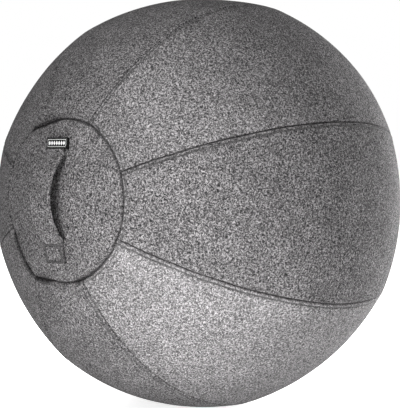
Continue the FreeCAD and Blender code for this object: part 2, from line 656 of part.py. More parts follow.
def label():
    """The blank woven label, folded over the strap's upper end and down to the cap on both sides."""
    high = LABEL_TOP / POLE_ARC - TILT
    low = high - LABEL_HEIGHT / POLE_ARC
    inner = SEAT_ARC + 2 * STRAP_LAYER + LABEL_CLEAR
    outer = inner + LABEL_THICK
    foot = SEAT_ARC
    wide = LABEL_WIDTH / 2
    outline = [Vector(0, foot, -wide), Vector(0, outer, -wide), Vector(0, outer, wide), Vector(0, foot, wide),
               Vector(0, foot, wide - LABEL_THICK), Vector(0, inner, wide - LABEL_THICK),
               Vector(0, inner, LABEL_THICK - wide), Vector(0, foot, LABEL_THICK - wide)]
    section = Part.Face(Part.makePolygon(outline + outline[:1]))
    section.rotate(Vector(0, 0, 0), Vector(0, 0, 1), -math.degrees(low))
    return on_cap(section.revolve(Vector(0, 0, 0), Vector(0, 0, 1), -math.degrees(high - low)))


def save(name, shape):
    """Writes one named piece, and says how many solids it holds."""
    solids = shape.Solids
    if not solids or not all(s.isValid() for s in solids):
        raise ValueError(name + " isn't a valid solid")
    shape.exportStep(os.path.join(OUT, name + ".step"))
    print(name, len(solids), "solids,", round(sum(s.Volume for s in solids) / 1000, 2), "cm3")


def main():
    os.makedirs(OUT, exist_ok=True)
    for index in range(GORES):
        save("gore_panel_%d" % (index + 1), gore(index))
    save("handle_cap_panel", cap(False))
    save("base_cap_panel", cap(True))
    save("gore_seam_allowances", seam_allowances())
    save("cap_seam_allowances", cap_allowances())
    save("inner_ball", air_ball())
    save("valve_seat", valve_seat())
    save("valve_plug", valve_plug())
    save("zip_tape_left", zip_tape(-1))
    save("zip_tape_right", zip_tape(1))
    save("zip_teeth_left", tooth_row(-1))
    save("zip_teeth_right", tooth_row(1))
    save("zip_open_stop", open_stop())
    save("zip_shut_stops", shut_stops())
    save("zip_slider", slider_body())
    save("zip_pull_tab", zip_pull())
    save("handle_grip_inner_layer", strap_part(0, -GRIP_HALF, GRIP_HALF))
    save("handle_grip_outer_layer", strap_part(1, -GRIP_HALF, GRIP_HALF))
    save("handle_lower_end", strap_end(-1))
    save("handle_upper_end", strap_end(1))
    save("handle_label", label())
    print("zip slider travel", round(SLIDER_TRAVEL, 3), "degrees")


main()
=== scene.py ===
"""Balance ball chair: felt gores, caps, seams, stitching, handle, label and zip, dressed on the frame.

Lengths are metres in the frame's own axes: +Z up, the caps' axis along Y, the handle towards -Y.
"""

from math import asin, atan2, copysign, cos, degrees, exp, floor, pi, radians, sin, tan
import random

import bpy
from mathutils import Matrix, Vector, noise


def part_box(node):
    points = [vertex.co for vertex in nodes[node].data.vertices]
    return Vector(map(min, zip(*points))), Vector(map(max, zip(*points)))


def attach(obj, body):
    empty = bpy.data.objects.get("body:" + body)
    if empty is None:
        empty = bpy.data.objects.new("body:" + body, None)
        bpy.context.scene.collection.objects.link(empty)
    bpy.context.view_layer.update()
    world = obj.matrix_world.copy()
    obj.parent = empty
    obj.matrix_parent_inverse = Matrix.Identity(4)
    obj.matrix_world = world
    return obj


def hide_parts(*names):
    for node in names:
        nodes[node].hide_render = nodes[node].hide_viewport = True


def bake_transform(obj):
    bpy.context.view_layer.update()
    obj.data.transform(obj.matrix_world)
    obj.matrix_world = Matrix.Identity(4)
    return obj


MM = 0.001

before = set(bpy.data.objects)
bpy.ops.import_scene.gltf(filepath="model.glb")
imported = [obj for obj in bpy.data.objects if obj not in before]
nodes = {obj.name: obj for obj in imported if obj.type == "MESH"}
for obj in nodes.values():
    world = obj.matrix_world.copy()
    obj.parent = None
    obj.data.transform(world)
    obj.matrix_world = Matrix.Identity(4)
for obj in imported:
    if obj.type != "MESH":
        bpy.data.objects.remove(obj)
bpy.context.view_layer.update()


# Sizes read from the frame
def reach(names, axis):
    """How far a set of CAD nodes reaches up one axis."""
    return max(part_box(name)[1][axis] for name in names)


def half_width(names):
    """Half of the way that a set of CAD nodes reaches across."""
    return (reach(names, 0) - min(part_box(name)[0][0] for name in names)) / 2


GORES = 8
GORE_NODES = ["gore_panel_%d" % (i + 1) for i in range(GORES)]
EQUATOR = half_width(GORE_NODES)
POLE = reach(["base_cap_panel"], 1)
CENTRE_Z = reach(GORE_NODES, 2) - EQUATOR
MIDDLE = Vector((0, 0, CENTRE_Z))
CAP_RIM = reach(["base_cap_panel"], 0)
STRAP_HALF = reach(["handle_grip_outer_layer"], 0)
LABEL_HALF = half_width(["handle_label"])

# The cover's form
BELT_OFFSET = 15 * MM  # how far the belt arc's centre lies off the axis
FIRST_SEAM = 19.5  # degrees up from +X
GORE_ANGLE = 360 / GORES
FLATTENING = EQUATOR - POLE
POLE_SHIFT = (2 * FLATTENING * BELT_OFFSET - FLATTENING ** 2) / (2 * (BELT_OFFSET - FLATTENING))
BELT_ARC = EQUATOR - BELT_OFFSET
POLE_ARC = POLE + POLE_SHIFT
JOIN = atan2(BELT_OFFSET, POLE_SHIFT)
RIM = asin(CAP_RIM / POLE_ARC)
RIM_ARC = RIM * POLE_ARC
JOIN_ARC = JOIN * POLE_ARC
HALF_ARC = JOIN_ARC + (pi / 2 - JOIN) * BELT_ARC
WHOLE_ARC = 2 * HALF_ARC  # the meridian from pole to pole
GORE_ARC = 2 * (HALF_ARC - RIM_ARC)
FLOOR_CLEAR = 0.15 * MM  # the cover's foot lies flat, this far above the floor

# The seams
FOLD_RADIUS = 2.6 * MM  # the rounding of a panel's edge into its seam
SEAM_DEPTH = 3.0 * MM
SEAM_GAP = 0.12 * MM
HEM = 8 * MM
HEM_DEPTH = 0.8 * MM  # how far the turned-in hem slopes away under its panel
RIM_FOLD = 1.35  # the caps' rims are rounder and deeper than the straight seams
RIM_GAP = 0.45 * MM
EDGE_DIP = 1.0 * MM  # the skin sinks beside each seam
EDGE_DIP_REACH = 2.2 * MM
RIM_CREASE = 1.1 * MM  # how much deeper the rim's seam lies where it's drawn in hard
RIM_CREASE_REACH = 3.2 * MM

# The topstitch
STITCH_OFFSET = 5.2 * MM  # from a seam to its row of topstitch
STITCH_PITCH = 4.0 * MM
STITCH_SPAN = 3.1 * MM
STITCH_STRAY = 0.12 * MM  # how unevenly the stitches follow each other
THREAD = 0.38 * MM
HEM_SWELL = 0.45 * MM  # the doubled cloth between a seam and its topstitch
STITCH_GROOVE = 0.75 * MM
GROOVE_WIDTH = 0.9 * MM
BANK = 0.2 * MM  # the cloth's rise past the groove
BANK_AWAY = 2.4 * MM
BANK_WIDTH = 1.6 * MM

# The stretched cloth between them
SWAG = 3.4 * MM  # how far a gore's middle flattens between its seams
SWAG_SHARE = 0.35  # of it, by which the seams stand out
DRIFT = 0.5 * MM  # slow unevenness of the cloth
DRIFT_LENGTH = 90 * MM
PUCKER = 0.28 * MM
PUCKER_LENGTH = 7.5 * MM
PUCKER_REACH = 9 * MM
RIM_PUCKER = 0.75 * MM
RIM_PUCKER_LENGTH = 9 * MM
RIM_PUCKER_REACH = 10 * MM
FULL_HEIGHT = 7 * MM  # the upper gore stands this much fuller towards the base
FULL_WAY = Vector((0.512, 0.389, 0.766))

# How far the seams stray
RIM_WAVE = 1.1 * MM  # from a true circle, all round
SEAM_WAVE = 0.6 * MM
WAVE_LENGTH = 26 * MM
WAVE_REACH = 22 * MM  # how far into the cloth a stray is taken up
RIM_STRAY_REACH = 34 * MM
# How far the handle's cap is sewn out of round: (degrees up from +X, millimetres outward).
RIM_STRAY = ((0, -0.5), (60, 0), (95, 0), (110, 0.8), (117, 5.5), (123, 9.5), (138, 9), (160, 7), (185, 4),
             (198, -3), (206, -5), (220, 0.5), (235, 6), (241, 9), (247, 3.5), (254, -0.5), (261, -3),
             (285, -2.5), (310, -2), (335, -1.2), (360, -0.5))
# How hard its rim is drawn in, the same way round.
RIM_PULL = ((0, 0.22), (45, 0.4), (58, 0.6), (75, 0.5), (90, 0.6), (97, 1.2), (121, 1.2), (128, 0.35),
            (196, 0.35), (206, 1.2), (214, 1.35), (243, 1.35), (258, 1.1), (264, 0.35), (280, 0.4),
            (286, 0.9), (298, 0.7), (312, 0.4), (360, 0.22))
FAR_TURN = 2.1  # radians by which the base cap's rim is drawn in another way round

# How finely the felt is meshed
GORE_ACROSS = 46
GORE_ALONG = 250
CAP_ACROSS = 60
CAP_AROUND = 240

# The zip, in the seam behind the handle's left side
ZIP_SEAM = 3
ZIP_SLOT = 6.3 * MM  # half of the gap between the two folded edges
ZIP_EASE = 5 * MM  # the length over which that gap opens
ZIP_STITCH = 5.0 * MM  # from a folded edge to its row of stitching
TAB_HOLLOW = 1.8 * MM  # how deep the felt gives way to the pull tab
TAB_HOLLOW_WIDTH = 10 * MM
TAB_HOLLOW_LENGTH = 26 * MM
TAB_HOLLOW_EASE = 10 * MM  # over which it rises again beyond the tab
TAPE_DEPTH = 3.6 * MM
TAPE_RIPPLE = 0.1 * MM
TAPE_RIPPLE_LENGTH = 12 * MM
TAPE_ROWS = 200
# A tape's section: millimetres from the seam's line, and above the tape's face.
TAPE_PROFILE = ((1.6, -0.4), (1.45, -0.08), (1.7, 0.224), (2.2, 0.24), (2.6, 0.04), (3.2, 0), (5, 0), (7, 0),
                (10, 0), (14.8, 0), (14.8, -0.36))


def smooth(x, low, high):
    """A soft step from 0 to 1."""
    t = min(1.0, max(0.0, (x - low) / (high - low)))
    return t * t * (3 - 2 * t)


def bump_at(x, centre, width):
    """A soft ridge of height 1."""
    return exp(-((x - centre) / width) ** 2)


def wander(point, size, seed):
    """Smooth noise from -1 to 1 that varies over the given length."""
    return noise.noise(Vector(point) / size + Vector((seed * 17.3, seed * 5.1, seed * 9.7)))


def skin_angle(arc):
    """The angle of the skin's normal from the handle's pole, that far along the meridian."""
    if arc < JOIN_ARC:
        return arc / POLE_ARC
    if arc > WHOLE_ARC - JOIN_ARC:
        return pi - (WHOLE_ARC - arc) / POLE_ARC
    return JOIN + (arc - JOIN_ARC) / BELT_ARC


def meridian(arc, lift=0.0):
    """A place along the cover's meridian, lifted off: its distance from the caps' axis, and its y."""
    a = skin_angle(arc)
    if JOIN <= a <= pi - JOIN:
        return BELT_OFFSET + (BELT_ARC + lift) * sin(a), -(BELT_ARC + lift) * cos(a)
    shift = copysign(POLE_SHIFT, cos(a))
    return (POLE_ARC + lift) * sin(a), shift - (POLE_ARC + lift) * cos(a)


def skin_point(arc, turn, lift=0.0):
    """A point of the cover, its place along the meridian and its turn about the axis given."""
    out, y = meridian(arc, lift)
    return Vector((out * cos(turn), y, CENTRE_Z + out * sin(turn)))


def skin_radius(arc):
    """The distance of the skin from the caps' axis."""
    return meridian(arc)[0]


def skin_normal(arc, turn):
    """The outward direction of the cover at a point."""
    a = skin_angle(arc)
    return Vector((sin(a) * cos(turn), -cos(a), sin(a) * sin(turn)))


def seam_turn(index):
    """A seam's turn about the axis, in radians."""
    return radians(FIRST_SEAM + index * GORE_ANGLE)


# The zip's span along its seam, read from the tape
def arc_of_point(point):
    """How far along the meridian a point near the zip lies."""
    out = skin_normal(HALF_ARC, seam_turn(ZIP_SEAM))
    local = Vector(point) - MIDDLE - out * BELT_OFFSET
    return JOIN_ARC + (atan2(local.dot(out), -local.y) - JOIN) * BELT_ARC


def node_arcs(name):
    """The lowest and highest place along the meridian that a zip node reaches."""
    arcs = [arc_of_point(v.co) for v in nodes[name].data.vertices]
    return min(arcs), max(arcs)


TAPE_START, TAPE_END = node_arcs("zip_tape_left")
STOP_START = node_arcs("zip_open_stop")[0]
STOP_END = node_arcs("zip_shut_stops")[1]


def between(pairs, turn):
    """The value at a turn from (degrees, value) pairs that go once round."""
    place = degrees(turn) % 360
    for (low, before), (high, after) in zip(pairs, pairs[1:]):
        if place <= high:
            return before + (place - low) / (high - low) * (after - before)
    return pairs[-1][1]


def rim_spot(turn):
    """A place on a cap's rim, for noise that closes round it."""
    return CAP_RIM * cos(turn), CAP_RIM * sin(turn), 0


def rim_drawn(turn, far=False):
    """How hard the gathers pull at a cap's rim: 0 not at all, 1 fully."""
    drawn = between(RIM_PULL, turn + (FAR_TURN if far else 0.0))
    spot = rim_spot(turn)
    drawn *= 1 + 0.55 * wander(spot, 22 * MM, 83) + 0.35 * wander(spot, 7 * MM, 85)
    return min(1.4, max(0.12, drawn))


def warped(arc, turn):
    """Shifts a place of the cover, so that its seams stray a little as sewn ones do."""
    away = arc - RIM_ARC
    if abs(away) < 3 * RIM_STRAY_REACH:
        arc += between(RIM_STRAY, turn) * MM * bump_at(away, 0, RIM_STRAY_REACH)
    for rim, seed in ((RIM_ARC, 71), (WHOLE_ARC - RIM_ARC, 73)):
        away = abs(arc - rim)
        if away < 3 * WAVE_REACH:
            arc += RIM_WAVE * wander(rim_spot(turn), WAVE_LENGTH, seed) * bump_at(away, 0, WAVE_REACH)
    index = round((degrees(turn) - FIRST_SEAM) / GORE_ANGLE)
    radius = max(skin_radius(arc), CAP_RIM / 2)
    away = abs(turn - seam_turn(index)) * radius
    ends = smooth(arc, RIM_ARC, RIM_ARC + WAVE_REACH)
    ends *= smooth(WHOLE_ARC - arc, RIM_ARC, RIM_ARC + WAVE_REACH)
    if away < 3 * WAVE_REACH and ends > 0 and index % GORES != ZIP_SEAM:
        stray = SEAM_WAVE * wander((arc, 0, 0), 1.6 * WAVE_LENGTH, 79 + index % GORES)
        turn += stray * ends * bump_at(away, 0, WAVE_REACH) / radius
    return arc, turn


def fullness(arc, turn):
    """How much prouder the cover stands where the ball fills it out."""
    out = (skin_point(arc, turn) - MIDDLE).normalized()
    return FULL_HEIGHT * smooth(out.dot(FULL_WAY), 0.79, 1.0)


def cover_point(arc, turn, lift=0.0):
    """A point of the sewn cover."""
    return skin_point(*warped(arc, turn), lift + fullness(arc, turn))


def zip_gap(arc):
    """Half of the gap that the zip holds open in its seam."""
    opened = smooth(arc, STOP_START - ZIP_EASE, STOP_START)
    return ZIP_SLOT * opened * (1 - smooth(arc, STOP_END, STOP_END + ZIP_EASE))


def fold(x, size=1.0):
    """Where cloth lies that is x inward from a panel's edge: (distance from the edge, depth).
    Below zero it's the hem, folded back underneath."""
    radius, deep = FOLD_RADIUS * size, SEAM_DEPTH * size
    if x >= radius:
        return x, 0.0
    if x >= 0:
        t = x / radius
        return radius * (1 - cos(t * pi / 2)), deep * (1 - sin(t * pi / 2))
    return -x, deep - HEM_DEPTH * x / HEM


def painted_crease_shade(x, arc, seed, stitched):
    """How much painted shade darkens the felt, from 0 to 1, that far from a straight seam: in its crease and
    along its topstitch groove.
    """
    uneven = 1 + 0.5 * wander((arc, 0, 0), 30 * MM, seed)
    value = 0.65 * uneven * bump_at(x, 0, MM)
    if stitched:
        value += 0.9 * uneven * bump_at(x, STITCH_OFFSET, 1.2 * MM)
    return value


def rim_painted_crease_shade(x, drawn, stitched):
    """The same painted shade beside a cap's rim, where the cloth is drawn in unevenly, darker where it is
    drawn in harder.
    """
    value = (0.2 + 0.9 * drawn) * bump_at(x, 0, (1.4 + 2.8 * drawn ** 2) * MM)
    if stitched:
        value += 0.35 * drawn * bump_at(x, STITCH_OFFSET, MM)
    return value


def edge_relief(x, arc, along, seed, stitched, rim=0.0):
    """The skin's height near a seam: its swell, topstitch groove and puckers."""
    height = -EDGE_DIP * exp(-(x / EDGE_DIP_REACH) ** 1.5)
    if stitched:
        height += HEM_SWELL * bump_at(x, 0.5 * STITCH_OFFSET, 0.35 * STITCH_OFFSET)
        height -= STITCH_GROOVE * bump_at(x, STITCH_OFFSET, GROOVE_WIDTH)
        height += BANK * bump_at(x, STITCH_OFFSET + BANK_AWAY, BANK_WIDTH)
    ripple = wander((along, arc * 0.2, 0), RIM_PUCKER_LENGTH if rim else PUCKER_LENGTH, seed)
    if rim:
        height += RIM_PUCKER * ripple * exp(-x / RIM_PUCKER_REACH) * smooth(x, -1 * MM, 2 * MM)
        height -= RIM_CREASE * rim * bump_at(x, 0, RIM_CREASE_REACH)
    else:
        height += PUCKER * ripple * exp(-x / PUCKER_REACH) * smooth(x, 0, 2 * MM)
    return height


def panel_steps(width, coarse_count):
    """Places across a panel: its turned-in hems, close steps by both edges and even ones between."""
    near = [FOLD_RADIUS * e for e in (0.0, 0.12, 0.25, 0.4, 0.55, 0.72, 0.9, 1.15, 1.5, 1.9, 2.4)]
    near += [STITCH_OFFSET + k * MM for k in (0.0, 0.5, 1.0, 2.0, 3.4)]
    near = [-HEM, -HEM * 0.4] + sorted(set(round(v, 7) for v in near))
    last = near[-1]
    middle = [last + (width - 2 * last) * (k + 1) / (coarse_count + 1) for k in range(coarse_count)]
    return near + middle + [width - v for v in reversed(near)]


def linked(name, data):
    """An object of the scene that holds the given data."""
    obj = bpy.data.objects.new(name, data)
    bpy.context.scene.collection.objects.link(obj)
    return obj


def new_mesh(name, vertices, faces, smooth_shading=True):
    """A mesh object from lists."""
    mesh = bpy.data.meshes.new(name)
    mesh.from_pydata([tuple(v) for v in vertices], [], faces)
    mesh.validate()
    if smooth_shading:
        mesh.shade_smooth()
    return linked(name, mesh)


def grid_faces(rows, columns, flip=False, closed=False, first=0):
    """Quads that join a grid of vertices, row by row. Closed rows run round to their start."""
    faces = []
    for i in range(rows - 1):
        start = first + i * columns
        for j in range(columns if closed else columns - 1):
            n = (j + 1) % columns
            quad = (start + j, start + n, start + columns + n, start + columns + j)
            faces.append(quad[::-1] if flip else quad)
    return faces


def drift(arc, turn):
    """The cloth's slow unevenness at a place."""
    return DRIFT * wander(skin_point(arc, turn), DRIFT_LENGTH, 3)


def tab_hollow(arc, x):
    """How deep the felt lies past the zip's open end, where the pull tab comes to rest."""
    end = STOP_START - TAB_HOLLOW_LENGTH
    depth = TAB_HOLLOW * smooth(arc, end - TAB_HOLLOW_EASE, end)
    return depth * (1 - smooth(arc, STOP_START, STOP_START + 8 * MM)) * bump_at(x, 0, TAB_HOLLOW_WIDTH)


def gore_height(arc, turn, low_x, high_x, width, index):
    """How far a gore's skin stands off the round form, given its distances to both seams."""
    share = low_x / width
    belly = 4 * share * (1 - share)
    height = SWAG * skin_radius(arc) / EQUATOR * (SWAG_SHARE - belly) + drift(arc, turn)
    along = arc - RIM_ARC
    height += edge_relief(low_x, arc, along, index + 1, False)
    height += edge_relief(high_x, arc, along, index + 11, True)
    for x, seed, far in ((along, 31, False), (GORE_ARC - along, 37, True)):
        height += edge_relief(x, arc, turn * skin_radius(arc), seed, True, rim_drawn(turn, far))
    if index == ZIP_SEAM:
        height -= tab_hollow(arc, low_x)
    if index + 1 == ZIP_SEAM:
        height -= tab_hollow(arc, high_x)
    return height


def gore_mesh(index):
    """One felt gore: its skin, its folded edges and the hems turned in under it."""
    low_turn, high_turn = seam_turn(index), seam_turn(index + 1)
    full = EQUATOR * (high_turn - low_turn)
    columns = panel_steps(full, GORE_ACROSS)
    rows = panel_steps(GORE_ARC, GORE_ALONG)
    vertices, crease_shades, painted_lights = [], [], []
    for v in rows:
        far = v >= GORE_ARC / 2
        near_rim = GORE_ARC - v if far else v
        along, depth_v = fold(near_rim, RIM_FOLD)
        along += RIM_GAP / 2
        arc = RIM_ARC + (GORE_ARC - along if far else along)
        radius = skin_radius(arc)
        low_gap = SEAM_GAP / 2 + (zip_gap(arc) if index == ZIP_SEAM else 0)
        high_gap = SEAM_GAP / 2 + (zip_gap(arc) if index + 1 == ZIP_SEAM else 0)
        width = radius * (high_turn - low_turn) - low_gap - high_gap
        for u in columns:
            x = squeezed(u, full, width)
            near_seam = min(x, width - x)
            across, depth_u = fold(near_seam)
            side = across if x < width / 2 else width - across
            turn = low_turn + (low_gap + side) / radius
            depth = max(depth_u, depth_v) + 0.3 * min(depth_u, depth_v)
            height = 0.0
            if near_seam > 0 and near_rim > 0:
                height = gore_height(arc, turn, side + low_gap, width - side + high_gap,
                                     width + low_gap + high_gap, index)
            point = cover_point(arc, turn, height - depth)
            point.z = max(point.z, FLOOR_CLEAR)
            vertices.append(point)
            # Painted shade in the seams' creases and topstitch grooves, and beside the caps' rims.
            flat = painted_crease_shade(side, arc, 90 + index, False) + painted_crease_shade(width - side, arc, 91 + index, True)
            crease_shades.append(flat + rim_painted_crease_shade(along, rim_drawn(turn, far), True))
            # Painted light and shade of this gore, stored at its vertices.
            painted_lights.append(painted_light_at(index, side / width, arc))
    gore = new_mesh("felt_gore_%d" % (index + 1), vertices, grid_faces(len(rows), len(columns)))
    mark(gore, crease_shades, painted_lights)
    return gore


def mark(obj, crease_shades, painted_lights):
    """Stores at each vertex its painted shade of creases and stitch lines, and the painted light and shade
    of its gore.
    """
    for name, values in (("painted_crease_shade", [min(1.0, flat) for flat in crease_shades]), ("painted_light", painted_lights)):
        layer = obj.data.attributes.new(name, "FLOAT", "POINT")
        for place, value in zip(layer.data, values):
            place.value = value


def painted_light_at(index, share, arc):
    """The painted light and shade of a gore: lighter or darker from one seam to the other, and painted a
    little darker round the belt.
    """
    low, high = GORE_PAINTED_LIGHT[index]
    # Painted shade: up to 8% darker in a band towards the belt.
    painted_belt_shade = 1.03 - 0.08 * smooth(arc, 0.62 * HALF_ARC, 0.8 * HALF_ARC)
    return (low + (high - low) * share) * painted_belt_shade


def squeezed(u, full, width):
    """Places a column drawn for the belt on a narrower stretch, with the edge strips kept at their width."""
    keep = 4 * FOLD_RADIUS
    if u <= keep:
        return u
    if u >= full - keep:
        return width - (full - u)
    return keep + (u - keep) * (width - 2 * keep) / (full - 2 * keep)


def cap_mesh(name, far):
    """One round end panel, with its folded rim and its hem turned in."""
    rims = [x for x in panel_steps(2 * RIM_ARC, CAP_ACROSS) if x < RIM_ARC * 0.995]
    vertices, crease_shades, faces = [], [], []
    for x in rims:
        inset, depth = fold(x, RIM_FOLD)
        arc = RIM_ARC - RIM_GAP / 2 - inset
        for k in range(CAP_AROUND):
            turn = 2 * pi * k / CAP_AROUND
            drawn = rim_drawn(turn, far)
            height = 0.0
            if x > 0:
                height = drift(arc, turn)
                height += edge_relief(inset, arc, turn * RIM_ARC, 53 if far else 47, False, drawn)
            vertices.append(cover_point(WHOLE_ARC - arc if far else arc, turn, height - depth))
            # Painted shade beside the rim's crease.
            crease_shades.append(rim_painted_crease_shade(inset, drawn, False))
    middle = WHOLE_ARC if far else 0.0
    vertices.append(skin_point(middle, 0, drift(middle, 0)))
    for i in range(len(rims)):
        for k in range(CAP_AROUND):
            here, after = i * CAP_AROUND + k, i * CAP_AROUND + (k + 1) % CAP_AROUND
            face = (here, here + CAP_AROUND, after + CAP_AROUND, after)
            if i == len(rims) - 1:
                face = (here, len(vertices) - 1, after)
            faces.append(face if far else face[::-1])
    cap = new_mesh(name, vertices, faces)
    mark(cap, crease_shades + [0.0], [1.0] * len(vertices))
    return cap


# Stitches
def stitch_points(start, end, up, lift):
    """The centreline of one stitch: down into the cloth at both ends, and a low arch between."""
    arch = ((0.0, -1.1), (0.07, -0.2), (0.25, 0.75), (0.5, 1.0), (0.75, 0.75), (0.93, -0.2), (1.0, -1.1))
    return [start.lerp(end, t) + up * (lift * share) for t, share in arch]


def add_tube(vertices, faces, line, up, radius, sides=6):
    """Adds a thin closed tube along a line of points."""
    first = len(vertices)
    for i, point in enumerate(line):
        ahead = line[min(i + 1, len(line) - 1)] - line[max(i - 1, 0)]
        side = ahead.cross(up).normalized()
        top = side.cross(ahead).normalized()
        scale = 0.55 if i in (0, len(line) - 1) else 1.0
        for k in range(sides):
            angle = 2 * pi * k / sides
            vertices.append(point + (side * cos(angle) + top * sin(angle)) * radius * scale)
    faces += grid_faces(len(line), sides, closed=True, first=first)
    faces.append(tuple(reversed(range(first, first + sides))))
    faces.append(tuple(range(len(vertices) - sides, len(vertices))))


def stitch_object(name, length, path, up_at, seed, pitch=STITCH_PITCH, span=STITCH_SPAN, radius=THREAD):
    """A row of stitches. path gives the point at a length along the row, and up_at its outward way."""
    chance = random.Random(seed)
    vertices, faces = [], []
    count = int(length / pitch)
    step = length / count
    for k in range(count):
        a = (k + 0.5) * step - span / 2 + chance.uniform(-STITCH_STRAY, STITCH_STRAY)
        b = a + span + chance.uniform(-0.15, 0.15) * MM
        up = up_at((a + b) / 2)
        add_tube(vertices, faces, stitch_points(path(a), path(b), up, radius * 0.9), up, radius)
    return new_mesh(name, vertices, faces)


def thread_point(index, arc, turn):
    """Where a thread lies on the skin of a gore."""
    radius = skin_radius(arc)
    width = radius * radians(GORE_ANGLE)
    x = (turn - seam_turn(index)) * radius
    height = gore_height(arc, turn, x, width - x, width, index % GORES)
    return cover_point(arc, turn, height + THREAD * 0.3)


def seam_row(name, seam, start, end, away_at, seed):
    """Stitches along a seam. away_at gives how far above the seam they lie, below it where it's negative."""
    turn = seam_turn(seam)

    def path(along):
        arc = start + along
        away = away_at(arc)
        return thread_point(seam if away > 0 else seam - 1, arc, turn + away / skin_radius(arc))

    return stitch_object(name, end - start, path, lambda along: skin_normal(start + along, turn), seed)


def seam_stitches(index):
    """The topstitch beside one seam, on the gore below it."""
    start = RIM_ARC + STITCH_OFFSET * 1.6
    aside = (ZIP_STITCH + ZIP_SLOT - STITCH_OFFSET) / ZIP_SLOT if index == ZIP_SEAM else 0
    return seam_row("seam_stitches_%d" % (index + 1), index, start, WHOLE_ARC - start,
                    lambda arc: -STITCH_OFFSET - zip_gap(arc) * aside, index + 1)


def zip_side_stitches():
    """The row of stitching along the zip's other folded edge."""
    return seam_row("zip_side_stitches", ZIP_SEAM, TAPE_START, TAPE_END,
                    lambda arc: ZIP_STITCH + zip_gap(arc), 91)


def rim_stitches(name, far):
    """The topstitch that runs round a cap, on the gores."""
    arc = RIM_ARC + STITCH_OFFSET
    radius = skin_radius(arc)
    if far:
        arc = WHOLE_ARC - arc

    def path(along):
        turn = along / radius
        return thread_point(floor((degrees(turn) - FIRST_SEAM) / GORE_ANGLE), arc, turn)

    return stitch_object(name, 2 * pi * radius, path, lambda along: skin_normal(arc, along / radius),
                         5 if far else 4)


# Materials
def fresh_material(name):
    """A new material, and coordinates fixed to the piece."""
    material = bpy.data.materials.new(name)
    material.use_nodes = True
    return material, material.node_tree.nodes.new("ShaderNodeTexCoord").outputs["Object"]


def finished(material, values):
    """The material, with the sockets of its shader set."""
    settle(material.node_tree.nodes["Principled BSDF"], values)
    return material


def settle(made, values):
    """Sets a node's sockets to plain values or colours, or joins them to another node's output."""
    for key, value in values.items():
        socket = made.inputs[key]
        if isinstance(value, bpy.types.NodeSocket):
            made.id_data.links.new(value, socket)
        elif socket.type == "RGBA" and len(value) == 3:
            socket.default_value = (*value, 1)
        else:
            socket.default_value = value
    return made


def node(socket, kind, values, **properties):
    """A shader node in the same tree as a socket, with its properties and sockets set."""
    made = socket.id_data.nodes.new(kind)
    for key, value in properties.items():
        setattr(made, key, value)
    return settle(made, values)


def vertex_value(place, name):
    """A value stored at the piece's vertices."""
    return node(place, "ShaderNodeAttribute", {}, attribute_name=name).outputs["Fac"]


def noise_of(place, scale, detail, roughness, output=0):
    """A noise texture's value, or its colour as output 1."""
    values = {"Vector": place, "Scale": scale, "Detail": detail, "Roughness": roughness}
    return node(place, "ShaderNodeTexNoise", values).outputs[output]


def ribs_of(place, pitch, way, distortion, detail=2.0):
    """Woven ribs that follow each other along one axis."""
    values = {"Vector": place, "Scale": 0.314 / pitch, "Distortion": distortion, "Detail": detail}
    return node(place, "ShaderNodeTexWave", values, wave_type="BANDS", bands_direction=way).outputs[1]


def stretched(place, scale, rotation):
    """The same place, stretched and turned, for fibres that run one way."""
    turns = [radians(r) for r in rotation]
    return node(place, "ShaderNodeMapping", {"Vector": place, "Scale": scale, "Rotation": turns}).outputs[0]


def ramp(value, stops):
    """A value turned into a colour by (place, colour) stops."""
    made = node(value, "ShaderNodeValToRGB", {0: value})
    made.color_ramp.interpolation = "EASE"
    while len(made.color_ramp.elements) < len(stops):
        made.color_ramp.elements.new(0.5)
    for element, (place, colour) in zip(made.color_ramp.elements, stops):
        element.position = place
        element.color = (*colour, 1)
    return made.outputs[0]


def shades(value, colour, *stops):
    """A value turned into shades of one colour, by (place, share of the colour) stops."""
    return ramp(value, [(place, tuple(c * share for c in colour)) for place, share in stops])


def maths(operation, first, *others):
    """A socket joined to other sockets or numbers by one operation."""
    for second in others:
        first = node(first, "ShaderNodeMath", {0: first, 1: second}, operation=operation).outputs[0]
    return first


def mixed(kind, factor, first, second):
    """A colour mixed with another one or with a socket's."""
    values = {0: factor, 6: first, 7: second}
    return node(first, "ShaderNodeMix", values, data_type="RGBA", blend_type=kind).outputs[2]


def relief(height, distance, strength=1.0):
    """The surface's direction where it's raised by a height from 0 to 1."""
    values = {"Height": height, "Distance": distance, "Strength": strength}
    return node(height, "ShaderNodeBump", values).outputs[0]


def grey(value):
    """A nearly neutral grey with a breath of warmth."""
    return (value * 1.008, value * 0.99, value)


WHITE = (1, 1, 1)
# The felt's fibres run three ways: stretch, turn in degrees, and fineness.
FIBRE_RUNS = (((1.0, 0.3, 1.0), (20, 0, 35), 760), ((0.3, 1.0, 1.0), (0, 30, -40), 800),
              ((1.0, 1.0, 0.3), (65, 15, 10), 780))


